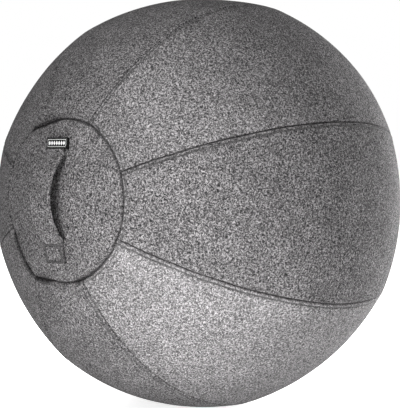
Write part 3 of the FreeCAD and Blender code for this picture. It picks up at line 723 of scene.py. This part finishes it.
def felt_material(name, tone, seed):
    """Heather wool felt: pale and dark fibres matted together, with a short pile; over them go painted light
    and shade per gore and painted shade in creases, from values stored at the vertices.
    """
    material, place = fresh_material(name)
    moved = stretched(place, (1, 1, 1), (seed * 23.0, seed * 41.0, seed * 67.0))
    values = {0: noise_of(moved, 170, 2.0, 0.5, 1), 1: (0.006, 0.006, 0.006), 2: moved}
    place = node(place, "ShaderNodeVectorMath", values, operation="MULTIPLY_ADD").outputs[0]
    tufts = noise_of(place, 455, 3.0, 0.65)
    runs = []
    for stretch, (x, y, z), fineness in FIBRE_RUNS:
        turned = stretched(place, stretch, (x, y, z if runs else z + seed))
        runs.append(noise_of(turned, fineness, 2.0, 0.6))
    fibres = maths("MAXIMUM", *runs)
    troughs = maths("MINIMUM", *runs)
    pale = maths("MULTIPLY", shades(fibres, WHITE, (0.60, 0), (0.70, 1)), 0.75)
    dark = maths("MULTIPLY", shades(troughs, WHITE, (0.32, 1), (0.42, 0)), 0.75)
    base = shades(tufts, grey(tone), (0.39, 0.14), (0.5, 0.78), (0.61, 2.6))
    base = mixed("MIX", pale, base, grey(min(0.75, tone * 4.2)))
    base = mixed("MIX", dark, base, grey(tone * 0.16))
    clouds = noise_of(place, 24, 3.0, 0.55)
    base = mixed("MULTIPLY", 1.0, base, shades(clouds, grey(1), (0.3, 0.9), (0.7, 1.1)))
    # Painted light and shade: each gore is made lighter or darker by its stored value, with less grain
    # contrast where it is painted lighter.
    painted_light = vertex_value(place, "painted_light")
    painted_light_excess = maths("MAXIMUM", maths("SUBTRACT", painted_light, 1.0), 0.0)
    base = mixed("MIX", maths("MULTIPLY", painted_light_excess, 0.4), base, grey(tone * 1.15))
    base = mixed("MULTIPLY", 1.0, base, painted_light)
    # Painted shade: the felt is darkened in creases, stitch grooves and along the strap's edges by the
    # stored values.
    base = mixed("MULTIPLY", vertex_value(place, "painted_crease_shade"), base, grey(0.26))
    fuzz = maths("MULTIPLY", noise_of(place, 1500, 2.0, 0.6), 0.25)
    height = maths("ADD", maths("MULTIPLY", tufts, 0.6), maths("MULTIPLY", fibres, 0.5))
    return finished(material, {
        "Base Color": base, "Roughness": 0.93, "Specular IOR Level": 0.03, "Sheen Weight": 0.012,
        "Sheen Roughness": 0.45, "Sheen Tint": (0.9, 0.9, 0.9),
        "Normal": relief(maths("ADD", height, fuzz), 2.2 * MM)})


def thread_material(name, tone):
    """Spun thread: fine slanting ply lines."""
    material, place = fresh_material(name)
    ply = noise_of(stretched(place, (1, 0.35, 1), (0, 0, 30)), 2600, 1.0, 0.5)
    return finished(material, {
        "Base Color": shades(ply, (tone, tone, tone), (0.35, 0.6), (0.65, 1.5)),
        "Roughness": 0.6, "Sheen Weight": 0.15, "Normal": relief(ply, 0.12 * MM)})


def woven_material(name, colour, pitch):
    """A fine woven tape: crossing ribs in a herringbone, with a little wear."""
    material, place = fresh_material(name)
    waves = [ribs_of(stretched(place, (1, 1, 1), (turn, turn * 0.7, turn)), pitch, "X", 0.6, 1.0)
             for turn in (45, -45)]
    weave = maths("MAXIMUM", *waves)
    dust = shades(noise_of(place, 300, 3.0, 0.6), WHITE, (0.35, 0.85), (0.7, 1.15))
    base = mixed("MULTIPLY", 1.0, shades(weave, colour, (0.25, 0.45), (0.8, 1.5)), dust)
    return finished(material, {"Base Color": base, "Roughness": 0.75, "Sheen Weight": 0.15,
                               "Normal": relief(weave, 0.2 * MM, 0.8)})


def moulded_material(name, colour, rough, grain, metallic=0.0):
    """A moulded or painted piece: slight mottling, soft wear in patches and fine surface grain."""
    material, place = fresh_material(name)
    wear = noise_of(place, 420, 4.0, 0.6)
    return finished(material, {
        "Base Color": shades(wear, colour, (0.35, 0.8), (0.75, 1.35)),
        "Roughness": shades(wear, WHITE, (0.3, rough - 0.08), (0.7, rough + 0.1)),
        "Metallic": metallic,
        "Normal": relief(noise_of(place, grain, 2.0, 0.5), 0.08 * MM, 0.5)})


# The handle's strap
STRAP_LAYER = 2.5 * MM
LAYER_GAP = 0.03 * MM
INNER_NARROWER = 0.25 * MM  # on each side
STRAP_SEAT = 0.12 * MM
STRAP_LIFT_OFF = 59 * MM  # along the cap from the arch's middle to where the strap leaves it
STRAP_RISE = 15.5 * MM
STRAP_SWEEP = 17 * MM  # radius where the strap curves up off the cap
STRAP_UP = 4.5 * MM  # the arch's middle stands this far above the pole
STRAP_LOWER_END = 80.5 * MM
STRAP_UPPER_END = 84.5 * MM
BLEND_HALF = 20 * MM  # the strap's ends give way to its middle outside this
STRAP_SHIFT = 0.8 * MM  # the strap is sewn on a little to the right of the pole
STRAP_BOW = 4.0 * MM  # and its free middle hangs to the left
END_THIN = 0.45  # the sewn upper end is pressed to this share of its thickness
STRAP_ROUND = 0.9 * MM  # the rounding of its edges
EDGE_THIN = 0.5 * MM  # how much the outer layer's edges thin out
STRAP_WAVER = 0.35 * MM  # how much its edges waver
STRAP_WAVES = ((0.22 * MM, 11 * MM), (0.3 * MM, 35 * MM))  # height and length of its small and slow waves
PRESS_LENGTH = 12 * MM  # over which the upper end thins
STRAP_FLATS = 44  # steps of its mesh: across, round an edge, and along half of it
STRAP_CORNERS = 8
STRAP_STEPS = 150
TILT = STRAP_UP / POLE_ARC
SEAT_ARC = POLE_ARC + STRAP_SEAT
LIFT_ANGLE = STRAP_LIFT_OFF / POLE_ARC
SWEEP_X = (SEAT_ARC + STRAP_SWEEP) * sin(LIFT_ANGLE)
SWEEP_Y = (SEAT_ARC + STRAP_SWEEP) * cos(LIFT_ANGLE)
CROWN = SEAT_ARC + STRAP_RISE + STRAP_SWEEP
ARCH_Y = (CROWN ** 2 - SWEEP_X ** 2 - SWEEP_Y ** 2) / (2 * (CROWN - SWEEP_Y))
ARCH_RADIUS = SEAT_ARC + STRAP_RISE - ARCH_Y
MEET_ANGLE = atan2(SWEEP_X, SWEEP_Y - ARCH_Y)
ARCH_LENGTH = MEET_ANGLE * ARCH_RADIUS
SEATED = ARCH_LENGTH + (MEET_ANGLE - LIFT_ANGLE) * STRAP_SWEEP


def seat_s(distance, way):
    """A place on the sewn end, from its distance to the pole along the cap."""
    return way * (SEATED + (distance / POLE_ARC - way * TILT - LIFT_ANGLE) * SEAT_ARC)


def strap_centre(s):
    """The strap's underside at a length from the arch's middle: (x, y) and the outward direction."""
    d = abs(s)
    x, y, radius = 0, 0, SEAT_ARC
    angle = LIFT_ANGLE + (d - SEATED) / SEAT_ARC
    if d <= ARCH_LENGTH:
        y, radius = ARCH_Y, ARCH_RADIUS
        angle = d / ARCH_RADIUS
    elif d <= SEATED:
        x, y, radius = SWEEP_X, SWEEP_Y, -STRAP_SWEEP
        angle = MEET_ANGLE - (d - ARCH_LENGTH) / STRAP_SWEEP
    side = copysign(1, s)
    point = Vector((side * (x + radius * sin(angle)), y + radius * cos(angle)))
    return point, Vector((side * sin(angle), cos(angle)))


def strap_stray(s):
    """How far the strap's middle line lies to the right of the pole."""
    return STRAP_SHIFT - STRAP_BOW * max(0.0, 1 - (s / SEATED) ** 2)


def strap_press(s):
    """The share of its thickness that the strap keeps, less where its upper end is sewn down."""
    return 1 - (1 - END_THIN) * smooth(s, SEATED + MM, SEATED + PRESS_LENGTH)


def off_strap(s, out, across):
    """A point that far out from the strap's underside line, and that far to the right of the pole."""
    point, way = strap_centre(s)
    x, y = point + way * out
    deep = x * sin(TILT) - y * cos(TILT)
    return Vector((across, POLE_SHIFT + deep, CENTRE_Z + x * cos(TILT) + y * sin(TILT)))


def strap_point(s, across, out):
    """A point in the strap: along it, across it, and out from its underside."""
    return off_strap(s, out * strap_press(s), across + strap_stray(s))


def strap_section(half, low):
    """The section's points (across, out), dense at its rounded edges."""
    flat, middle, thick = half - STRAP_ROUND, low + STRAP_LAYER / 2, STRAP_LAYER / 2
    points = [(flat * (2 * k / STRAP_FLATS - 1), middle + thick) for k in range(STRAP_FLATS + 1)]
    for k in range(1, STRAP_CORNERS):
        angle = pi / 2 - pi * k / STRAP_CORNERS
        points.append((flat + STRAP_ROUND * cos(angle), middle + thick * sin(angle)))
    return points + [(-across, 2 * middle - out) for across, out in points]


def strap_relief(s, across, seed):
    """Small waves of the felt strap's faces and edges."""
    (small, short), (slow, long) = STRAP_WAVES
    return small * wander((s, across, 0), short, seed) + slow * wander((s, 0, across), long, seed + 2)


def strap_mesh(name, layer, s_low, s_high):
    """A stretch of one felt layer of the strap."""
    half = STRAP_HALF - (0 if layer else INNER_NARROWER)
    low = layer * (STRAP_LAYER + LAYER_GAP)
    section = strap_section(half, low)
    count = len(section)
    vertices, crease_shades = [], []
    for i in range(STRAP_STEPS + 1):
        s = s_low + (s_high - s_low) * i / STRAP_STEPS
        waver = STRAP_WAVER * wander((s, 0, 0), 20 * MM, 7 + layer)
        for across, out in section:
            face = out > low + STRAP_LAYER / 2
            edge = abs(across) / half
            dip = stitch_dip(s, across)
            lift = strap_relief(s, across, 5 + layer) * (1.0 if face else 0.3) - dip
            lift -= EDGE_THIN * smooth(edge, 0.82, 1.0) if layer else 0
            vertices.append(strap_point(s, across + waver * across / half, max(out + lift, 0.02 * MM)))
            # Painted shade on the edges of the strap's sewn ends, where they lie on the cap, and in the dips
            # of the stitched box.
            painted_edge_shade = 0.85 * smooth(edge, 0.93, 0.99) * smooth(abs(s), SEATED - 2 * MM, SEATED + 2 * MM)
            crease_shades.append(max(painted_edge_shade, dip / BOX_DIP if face else 0.0))
    faces = grid_faces(STRAP_STEPS + 1, count, closed=True)
    faces += [tuple(range(count)), tuple(STRAP_STEPS * count + k for k in reversed(range(count)))]
    strip = new_mesh(name, vertices, faces)
    mark(strip, crease_shades, [1.0] * len(vertices))
    return strip


# Stitched rectangles on the strap
def sides_of(low, high, half):
    """The four sides of a rectangle, as pairs of (s, across)."""
    corners = [Vector(place) for place in ((low, -half), (low, half), (high, half), (high, -half))]
    return list(zip(corners, corners[1:] + corners[:1]))


def frame_stitches(name, sides, path_at, surface_at, seed, *sizes):
    """Stitches round a rectangle, on a surface that gives a point by place and distance outward."""
    lengths = [(b - a).length for a, b in sides]

    def place(along):
        k = 0
        while k < 3 and along > lengths[k]:
            along -= lengths[k]
            k += 1
        return sides[k][0].lerp(sides[k][1], along / lengths[k])

    def up_at(along):
        spot = place(along)
        return (surface_at(*spot, 1.0) - surface_at(*spot, 2 * STRAP_LAYER)).normalized()

    return stitch_object(name, sum(lengths), lambda along: path_at(*place(along)), up_at, seed, *sizes)


# The box of stitching that holds the sewn lower end
BOX_DIP = 0.9 * MM  # how far the thread sinks the felt
BOX_DIP_REACH = 1.8 * MM
BOX_NEAR = seat_s(56.5 * MM, -1)
BOX_FAR = seat_s(78.5 * MM, -1)
BOX_SIDES = sides_of(BOX_NEAR, BOX_FAR, 14.5 * MM)
BOX_THREAD = (3.4 * MM, 2.7 * MM, 0.5 * MM)  # its stitches' pitch, span and radius


def segment_distance(p, a, b):
    """The distance of a point from a line in the strap's flat."""
    d = b - a
    t = min(1.0, max(0.0, (p - a).dot(d) / d.length_squared))
    return (p - a - d * t).length


def stitch_dip(s, across):
    """How far the thread pulls the felt down near the stitched box."""
    if s > BOX_NEAR + 8 * MM:
        return 0.0
    near = min(segment_distance(Vector((s, across)), a, b) for a, b in BOX_SIDES)
    return BOX_DIP * bump_at(near, 0, BOX_DIP_REACH)


def box_stitches():
    """The four sides of the stitched box."""
    def path_at(s, across):
        lift = strap_relief(s, across, 6) - stitch_dip(s, across)
        return strap_point(s, across, 2 * STRAP_LAYER + LAYER_GAP + lift + THREAD * 0.5)

    return frame_stitches("box_stitches_lower", BOX_SIDES, path_at, strap_point, 59, *BOX_THREAD)


# The label
LABEL_TOP = 84 * MM  # from the pole, along the cap
LABEL_HEIGHT = 15.5 * MM
LABEL_THICK = 0.7 * MM
LABEL_CLOTH = 0.5 * MM
LABEL_CORNER = 1.4 * MM  # its rounding over the strap's edges
LABEL_ROWS = 20
LABEL_SHIFT = 4.2 * MM  # the label is sewn on a little to the right, and not quite square
LABEL_TURN = radians(3.0)
LABEL_SKEW = tan(radians(9.0))
LABEL_PROUD = 1.6 * MM  # the strap's turned-under end lifts the label's top edge
LABEL_FACE = 2 * STRAP_LAYER + 1.0 * MM  # off the strap's underside
LABEL_WAVE = 0.12 * MM
LABEL_WAVE_LENGTH = 8 * MM
THREAD_INSETS = (0.9 * MM, 1.1 * MM)  # of its stitching, from the long edges and the ends
LINE_INSETS = (2.9 * MM, 3.0 * MM)
LABEL_THREAD = (2.2 * MM, 1.6 * MM, 0.2 * MM)  # its stitches' pitch, span and radius
LINE_WIDTH = 0.6 * MM  # the pale line round the label's face
LINE_STEPS = 24
DIAMONDS = 7
DIAMOND_INSET = 6.5 * MM  # from the label's ends
DIAMOND_WIDE = 4.2 * MM
DIAMOND_HIGH = 6.5 * MM


def label_point(up, across, out):
    """A point of the label: up from its middle, across, and out from the strap."""
    s = seat_s(LABEL_TOP - LABEL_HEIGHT / 2, 1) + up - across * tan(LABEL_TURN)
    lift = LABEL_PROUD * (0.5 + up / LABEL_HEIGHT) + 0.3 * MM
    out = out * strap_press(s) + lift * min(1.0, out / STRAP_LAYER)
    return off_strap(s, out, across + LABEL_SHIFT - up * LABEL_SKEW)


def label_wave(up, across):
    """The small waves of the label's cloth."""
    return LABEL_WAVE * wander((up, across, 0), LABEL_WAVE_LENGTH, 21)


def label_mesh():
    """The woven label, folded over the strap's upper end."""
    inner = 2 * STRAP_LAYER + 0.1 * MM
    top = inner + LABEL_THICK
    flat = LABEL_HALF - LABEL_CORNER
    path = [(-LABEL_HALF, 0.35 * MM)]
    path += [(-LABEL_HALF, inner * k / 4) for k in range(1, 4)]
    for k in range(7):
        angle = pi - pi / 2 * k / 6
        path.append((LABEL_CORNER * cos(angle) - flat, top - LABEL_CORNER + LABEL_CORNER * sin(angle)))
    bend = len(path)
    path += [(2 * flat * k / 28 - flat, top) for k in range(1, 28)]
    path += [(-across, out) for across, out in reversed(path[:bend])]
    vertices = []
    for i in range(LABEL_ROWS + 1):
        up = LABEL_HEIGHT * (i / LABEL_ROWS - 0.5)
        edge = LABEL_HEIGHT / 2 - abs(up)
        for across, out in path:
            lift = label_wave(up, across) - 0.25 * MM * exp(-edge / (0.6 * MM))
            vertices.append(label_point(up, across, out + (lift if abs(across) < flat else 0)))
    obj = new_mesh("blank_label", vertices, grid_faces(LABEL_ROWS + 1, len(path)))
    solid = obj.modifiers.new("cloth", "SOLIDIFY")
    solid.thickness = LABEL_CLOTH
    solid.offset = -1
    return obj


def label_sides(inset_high, inset_half):
    """The sides of a rectangle on the label's face, by its distances to the label's edges."""
    high = LABEL_HEIGHT / 2 - inset_high
    return sides_of(-high, high, LABEL_HALF - inset_half)


def label_stitches():
    """The black thread that sews the label on, just inside its edge."""
    def path_at(up, across):
        return label_point(up, across, LABEL_FACE)

    return frame_stitches("label_stitches", label_sides(*THREAD_INSETS), path_at, label_point, 77,
                          *LABEL_THREAD)


def label_material():
    """Black damask weave."""
    material, place = fresh_material("label_weave")
    cross = noise_of(stretched(place, (1, 1, 0.3), (0, 0, 0)), 1800, 2.0, 0.6)
    ribs = ribs_of(place, 0.45 * MM, "Z", 0.3)
    return finished(material, {
        "Base Color": ramp(cross, [(0.3, (0.0012, 0.0012, 0.0013)), (0.75, (0.005, 0.005, 0.0052))]),
        "Roughness": 0.9, "Specular IOR Level": 0.03, "Normal": relief(ribs, 0.14 * MM, 0.7)})


def label_line():
    """The pale line woven round the label's face, just inside its stitching."""
    vertices, faces = [], []
    for a, b in label_sides(*LINE_INSETS):
        ahead = (b - a).normalized() * LINE_WIDTH / 2
        side = Vector((-ahead.y, ahead.x))
        first = len(vertices)
        for i in range(LINE_STEPS + 1):
            spot = (a - ahead).lerp(b + ahead, i / LINE_STEPS)
            for share, rise in ((1, -0.25), (0.6, 0.05), (-0.6, 0.05), (-1, -0.25)):
                place = spot + side * share
                vertices.append(label_point(*place, LABEL_FACE + label_wave(*spot) + rise * MM))
        faces += grid_faces(LINE_STEPS + 1, 4, first=first)
    return new_mesh("label_border", vertices, faces)


def label_diamonds():
    """A plain row of woven diamonds along the label's middle."""
    half = LABEL_HALF - DIAMOND_INSET
    top = LABEL_FACE + 0.15 * MM
    vertices, faces = [], []
    for k in range(DIAMONDS):
        across = half * (2 * k / (DIAMONDS - 1) - 1)
        first = len(vertices)
        vertices.append(label_point(0, across, top))
        for up, side in ((-1, 0), (0, 1), (1, 0), (0, -1)):
            spot = (up * DIAMOND_HIGH / 2, across + side * DIAMOND_WIDE / 2)
            vertices.append(label_point(*spot, top - 0.2 * MM))
        faces += [(first, first + 1 + j, first + 1 + (j + 1) % 4) for j in range(4)]
    return new_mesh("label_diamonds", vertices, faces, False)


# The zip
def tape_mesh(name, side):
    """One woven zip tape, with its beaded edge by the teeth."""
    turn = seam_turn(ZIP_SEAM)
    out_way = Vector((cos(turn), 0, sin(turn)))
    across_way = out_way.cross(Vector((0, 1, 0)))
    vertices = []
    for i in range(TAPE_ROWS + 1):
        arc = TAPE_START + (TAPE_END - TAPE_START) * i / TAPE_ROWS
        for x, lift in TAPE_PROFILE:
            ripple = TAPE_RIPPLE * wander((arc, x * MM, side), TAPE_RIPPLE_LENGTH, 33) if x > 3 else 0
            place = skin_point(arc, turn, lift * MM + ripple - TAPE_DEPTH)
            vertices.append(place + across_way * (side * x * MM))
    return new_mesh(name, vertices, grid_faces(TAPE_ROWS + 1, len(TAPE_PROFILE), side > 0))


def dress(obj, body, slot, material, *replaced):
    """Puts a piece on its body, with its material, in place of CAD nodes. Its slot is not used."""
    obj.data.materials.append(material)
    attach(obj, body)
    if replaced:
        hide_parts(*replaced)
    return obj


def paint(material, *names):
    """Gives kept CAD nodes their material."""
    for name in names:
        piece = nodes[name]
        if not piece.material_slots:
            piece.data.materials.append(material)
        for place in piece.material_slots:
            place.link = "OBJECT"
            place.material = material


# The felt's tone, and the painted light and shade that make each gore lighter or darker, given at its first
# and second seam
FELT_TONE = 0.0575
GORE_PAINTED_LIGHT = ((1.13, 1.01), (0.92, 0.93), (0.95, 0.96), (0.98, 0.98), (1.0, 1.0), (0.96, 1.04), (1.24, 1.52),
            (1.01, 1.0))


def build_cover():
    """The gores, caps and all their stitching."""
    thread = thread_material("cover_thread", 0.010)
    for index in range(GORES):
        gore = gore_mesh(index)
        felt = felt_material("felt_gore_%d" % (index + 1), FELT_TONE, index + 1)
        dress(gore, "cover", "cover_felt", felt, GORE_NODES[index])
        if index == 0:
            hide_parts("gore_seam_allowances")
        dress(seam_stitches(index), "cover", "cover_felt", thread)
    for word, far in (("handle", False), ("base", True)):
        cap = cap_mesh("felt_%s_cap" % word, far)
        felt = felt_material("felt_%s_cap" % word, FELT_TONE * 0.98, 13 if far else 12)
        dress(cap, "cover", "cover_felt", felt, word + "_cap_panel")
        if far:
            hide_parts("cap_seam_allowances")
        dress(rim_stitches("rim_stitches_" + word, far), "cover", "cover_felt", thread)
    dress(zip_side_stitches(), "cover", "cover_felt", thread)


def build_handle():
    """The strap in two halves of two layers each, its stitching and its label."""
    felt = felt_material("felt_strap", FELT_TONE * 0.95, 15)
    for word, way, end in (("lower", -1, STRAP_LOWER_END), ("upper", 1, STRAP_UPPER_END)):
        for layer, layer_word in enumerate(("inner", "outer")):
            low, high = sorted((seat_s(end, way), 0.0))
            piece = strap_mesh("strap_%s_%s" % (layer_word, word), layer, low, high)
            piece.data.materials.append(felt)
            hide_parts("handle_%s_end" % word, "handle_grip_%s_layer" % layer_word)
            start = strap_point(seat_s(STRAP_LIFT_OFF, way), 0, STRAP_LAYER)
            stop = strap_point(way * BLEND_HALF, 0, STRAP_LAYER)
            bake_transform(piece)
    thread = thread_material("strap_thread", 0.006)
    dress(box_stitches(), "cover", "strap_felt", thread)
    dress(label_stitches(), "cover", "label_weave", thread)
    dress(label_mesh(), "cover", "label_weave", label_material(), "handle_label")
    pale = thread_material("label_line_thread", 0.36)
    dress(label_line(), "cover", "label_weave", pale)
    dress(label_diamonds(), "cover", "label_weave", pale)


def build_zip():
    """Woven tapes, and materials for the moulded teeth, stops, slider and pull."""
    tape = woven_material("zip_tape_weave", (0.030, 0.030, 0.031), 0.7 * MM)
    for side, word in ((-1, "left"), (1, "right")):
        piece = tape_mesh("woven_tape_" + word, side)
        dress(piece, "cover", "zip_tape", tape, "zip_tape_" + word)
    paint(moulded_material("zip_teeth_plastic", (0.022, 0.022, 0.023), 0.42, 2500),
          "zip_teeth_left", "zip_teeth_right", "zip_open_stop", "zip_shut_stops")
    paint(moulded_material("zip_metal_paint", (0.018, 0.018, 0.019), 0.32, 1800, 0.35),
          "zip_slider", "zip_pull_tab")


def build_inside():
    """Materials for the air ball and its valve, which the cover hides."""
    paint(moulded_material("ball_vinyl", (0.09, 0.09, 0.095), 0.45, 900), "inner_ball")
    paint(moulded_material("valve_vinyl", (0.09, 0.09, 0.095), 0.4, 1500), "valve_seat")
    paint(moulded_material("plug_plastic", (0.72, 0.72, 0.70), 0.4, 1500), "valve_plug")


# The studio
CAMERA_TURN = 37.19  # degrees round from the handle's side
CAMERA_TILT = -0.38
CAMERA_DISTANCE = 1.211
CAMERA_LENS = 65.0
FRAME_HEIGHT = 408  # pixels of the photograph
BALL_LEFT = 2.66  # pixels that the ball's middle lies left of and above the frame's middle
BALL_ABOVE = 1.13
# The soft panels: degrees to the right of the camera and up, distance, width, height and power.
PANELS = {"key_panel": (-10, 22, 0.62, 0.16, 0.20, 2.46), "low_panel": (-10, -22, 0.66, 0.20, 0.08, 3.14),
          "low_right_panel": (14, -26, 0.62, 0.16, 0.08, 0.6), "right_panel": (110, 0, 1.2, 0.5, 1.0, 32),
          "back_panel": (130, 5, 1.4, 0.5, 1.0, 22), "far_panel": (190, 12, 1.3, 0.6, 0.6, 14)}
# The shade card's near and far edge: beyond the strap's edge, and how far off the strap's underside.
CARD_EDGES = ((0, 0.5 * MM), (5 * MM, 6.5 * MM))
CARD_ROWS = 24
FLOOR_HALF = 12


def camera_axes():
    """The camera's backward, right and up directions."""
    turn, tilt = radians(CAMERA_TURN), radians(CAMERA_TILT)
    back = Vector((sin(turn) * cos(tilt), -cos(turn) * cos(tilt), sin(tilt)))
    right = Vector((cos(turn), sin(turn), 0))
    return back, right, back.cross(right)


def build_camera():
    """The photograph's viewpoint."""
    back, right, up = camera_axes()
    camera = linked("camera", bpy.data.cameras.new("camera"))
    axes = Matrix((right, up, back)).transposed().to_4x4()
    axes.translation = MIDDLE + back * CAMERA_DISTANCE
    camera.matrix_world = axes
    camera.data.lens = CAMERA_LENS
    camera.data.sensor_width = 36
    camera.data.sensor_fit = "AUTO"
    camera.data.shift_x = BALL_LEFT / FRAME_HEIGHT
    camera.data.shift_y = -BALL_ABOVE / FRAME_HEIGHT
    camera.data.clip_start = 0.01
    camera.data.clip_end = 50
    bpy.context.scene.camera = camera


def soft_light(name, side, rise, distance, width, height, power):
    """A soft panel light, placed by its turn and rise from the camera's line, facing the ball."""
    back, right, up = camera_axes()
    q, e = radians(side), radians(rise)
    way = right * (sin(q) * cos(e)) + up * sin(e) + back * (cos(q) * cos(e))
    data = bpy.data.lights.new(name, "AREA")
    data.shape = "RECTANGLE"
    data.size = width
    data.size_y = height
    data.energy = power
    light = linked(name, data)
    light.location = MIDDLE + way * distance
    light.rotation_euler = way.to_track_quat("Z", "Y").to_euler()
    light.visible_camera = False


def shade_card():
    """A photographer's flag beside the handle, unseen itself, that keeps the near lights out of its gap."""
    vertices = []
    for i in range(CARD_ROWS + 1):
        s = (2 * i / CARD_ROWS - 1) * (SEATED - 4 * MM)
        gap = max(0.0, strap_centre(s)[0].length - SEAT_ARC)
        for away, below in CARD_EDGES:
            vertices.append(off_strap(s, -gap * below / STRAP_RISE, STRAP_HALF + away + strap_stray(s)))
    card = new_mesh("shade_card", vertices, grid_faces(CARD_ROWS + 1, 2))
    card.data.materials.append(finished(fresh_material("card_black")[0], {"Base Color": (0.02, 0.02, 0.02)}))
    for sight in ("camera", "glossy", "transmission", "volume_scatter"):
        setattr(card, "visible_" + sight, False)


def build_studio():
    """A pale floor, a white surround and soft panels."""
    corners = [(x * FLOOR_HALF, y * FLOOR_HALF, 0) for x, y in ((-1, -1), (1, -1), (1, 1), (-1, 1))]
    ground = new_mesh("floor", corners, [(0, 1, 2, 3)])
    ground.data.materials.append(finished(fresh_material("pale_floor")[0], {
        "Base Color": (0.95, 0.95, 0.95), "Roughness": 0.9, "Specular IOR Level": 0.1,
        "Emission Color": WHITE, "Emission Strength": 0.65}))
    shade_card()
    world = bpy.data.worlds.new("surround")
    world.use_nodes = True
    settle(world.node_tree.nodes["Background"], {"Color": WHITE, "Strength": 1.0})
    bpy.context.scene.world = world
    for name, values in PANELS.items():
        soft_light(name, *values)
    bpy.context.scene.view_settings.view_transform = "Standard"


build_cover()
build_handle()
build_zip()
build_inside()
build_studio()
build_camera()
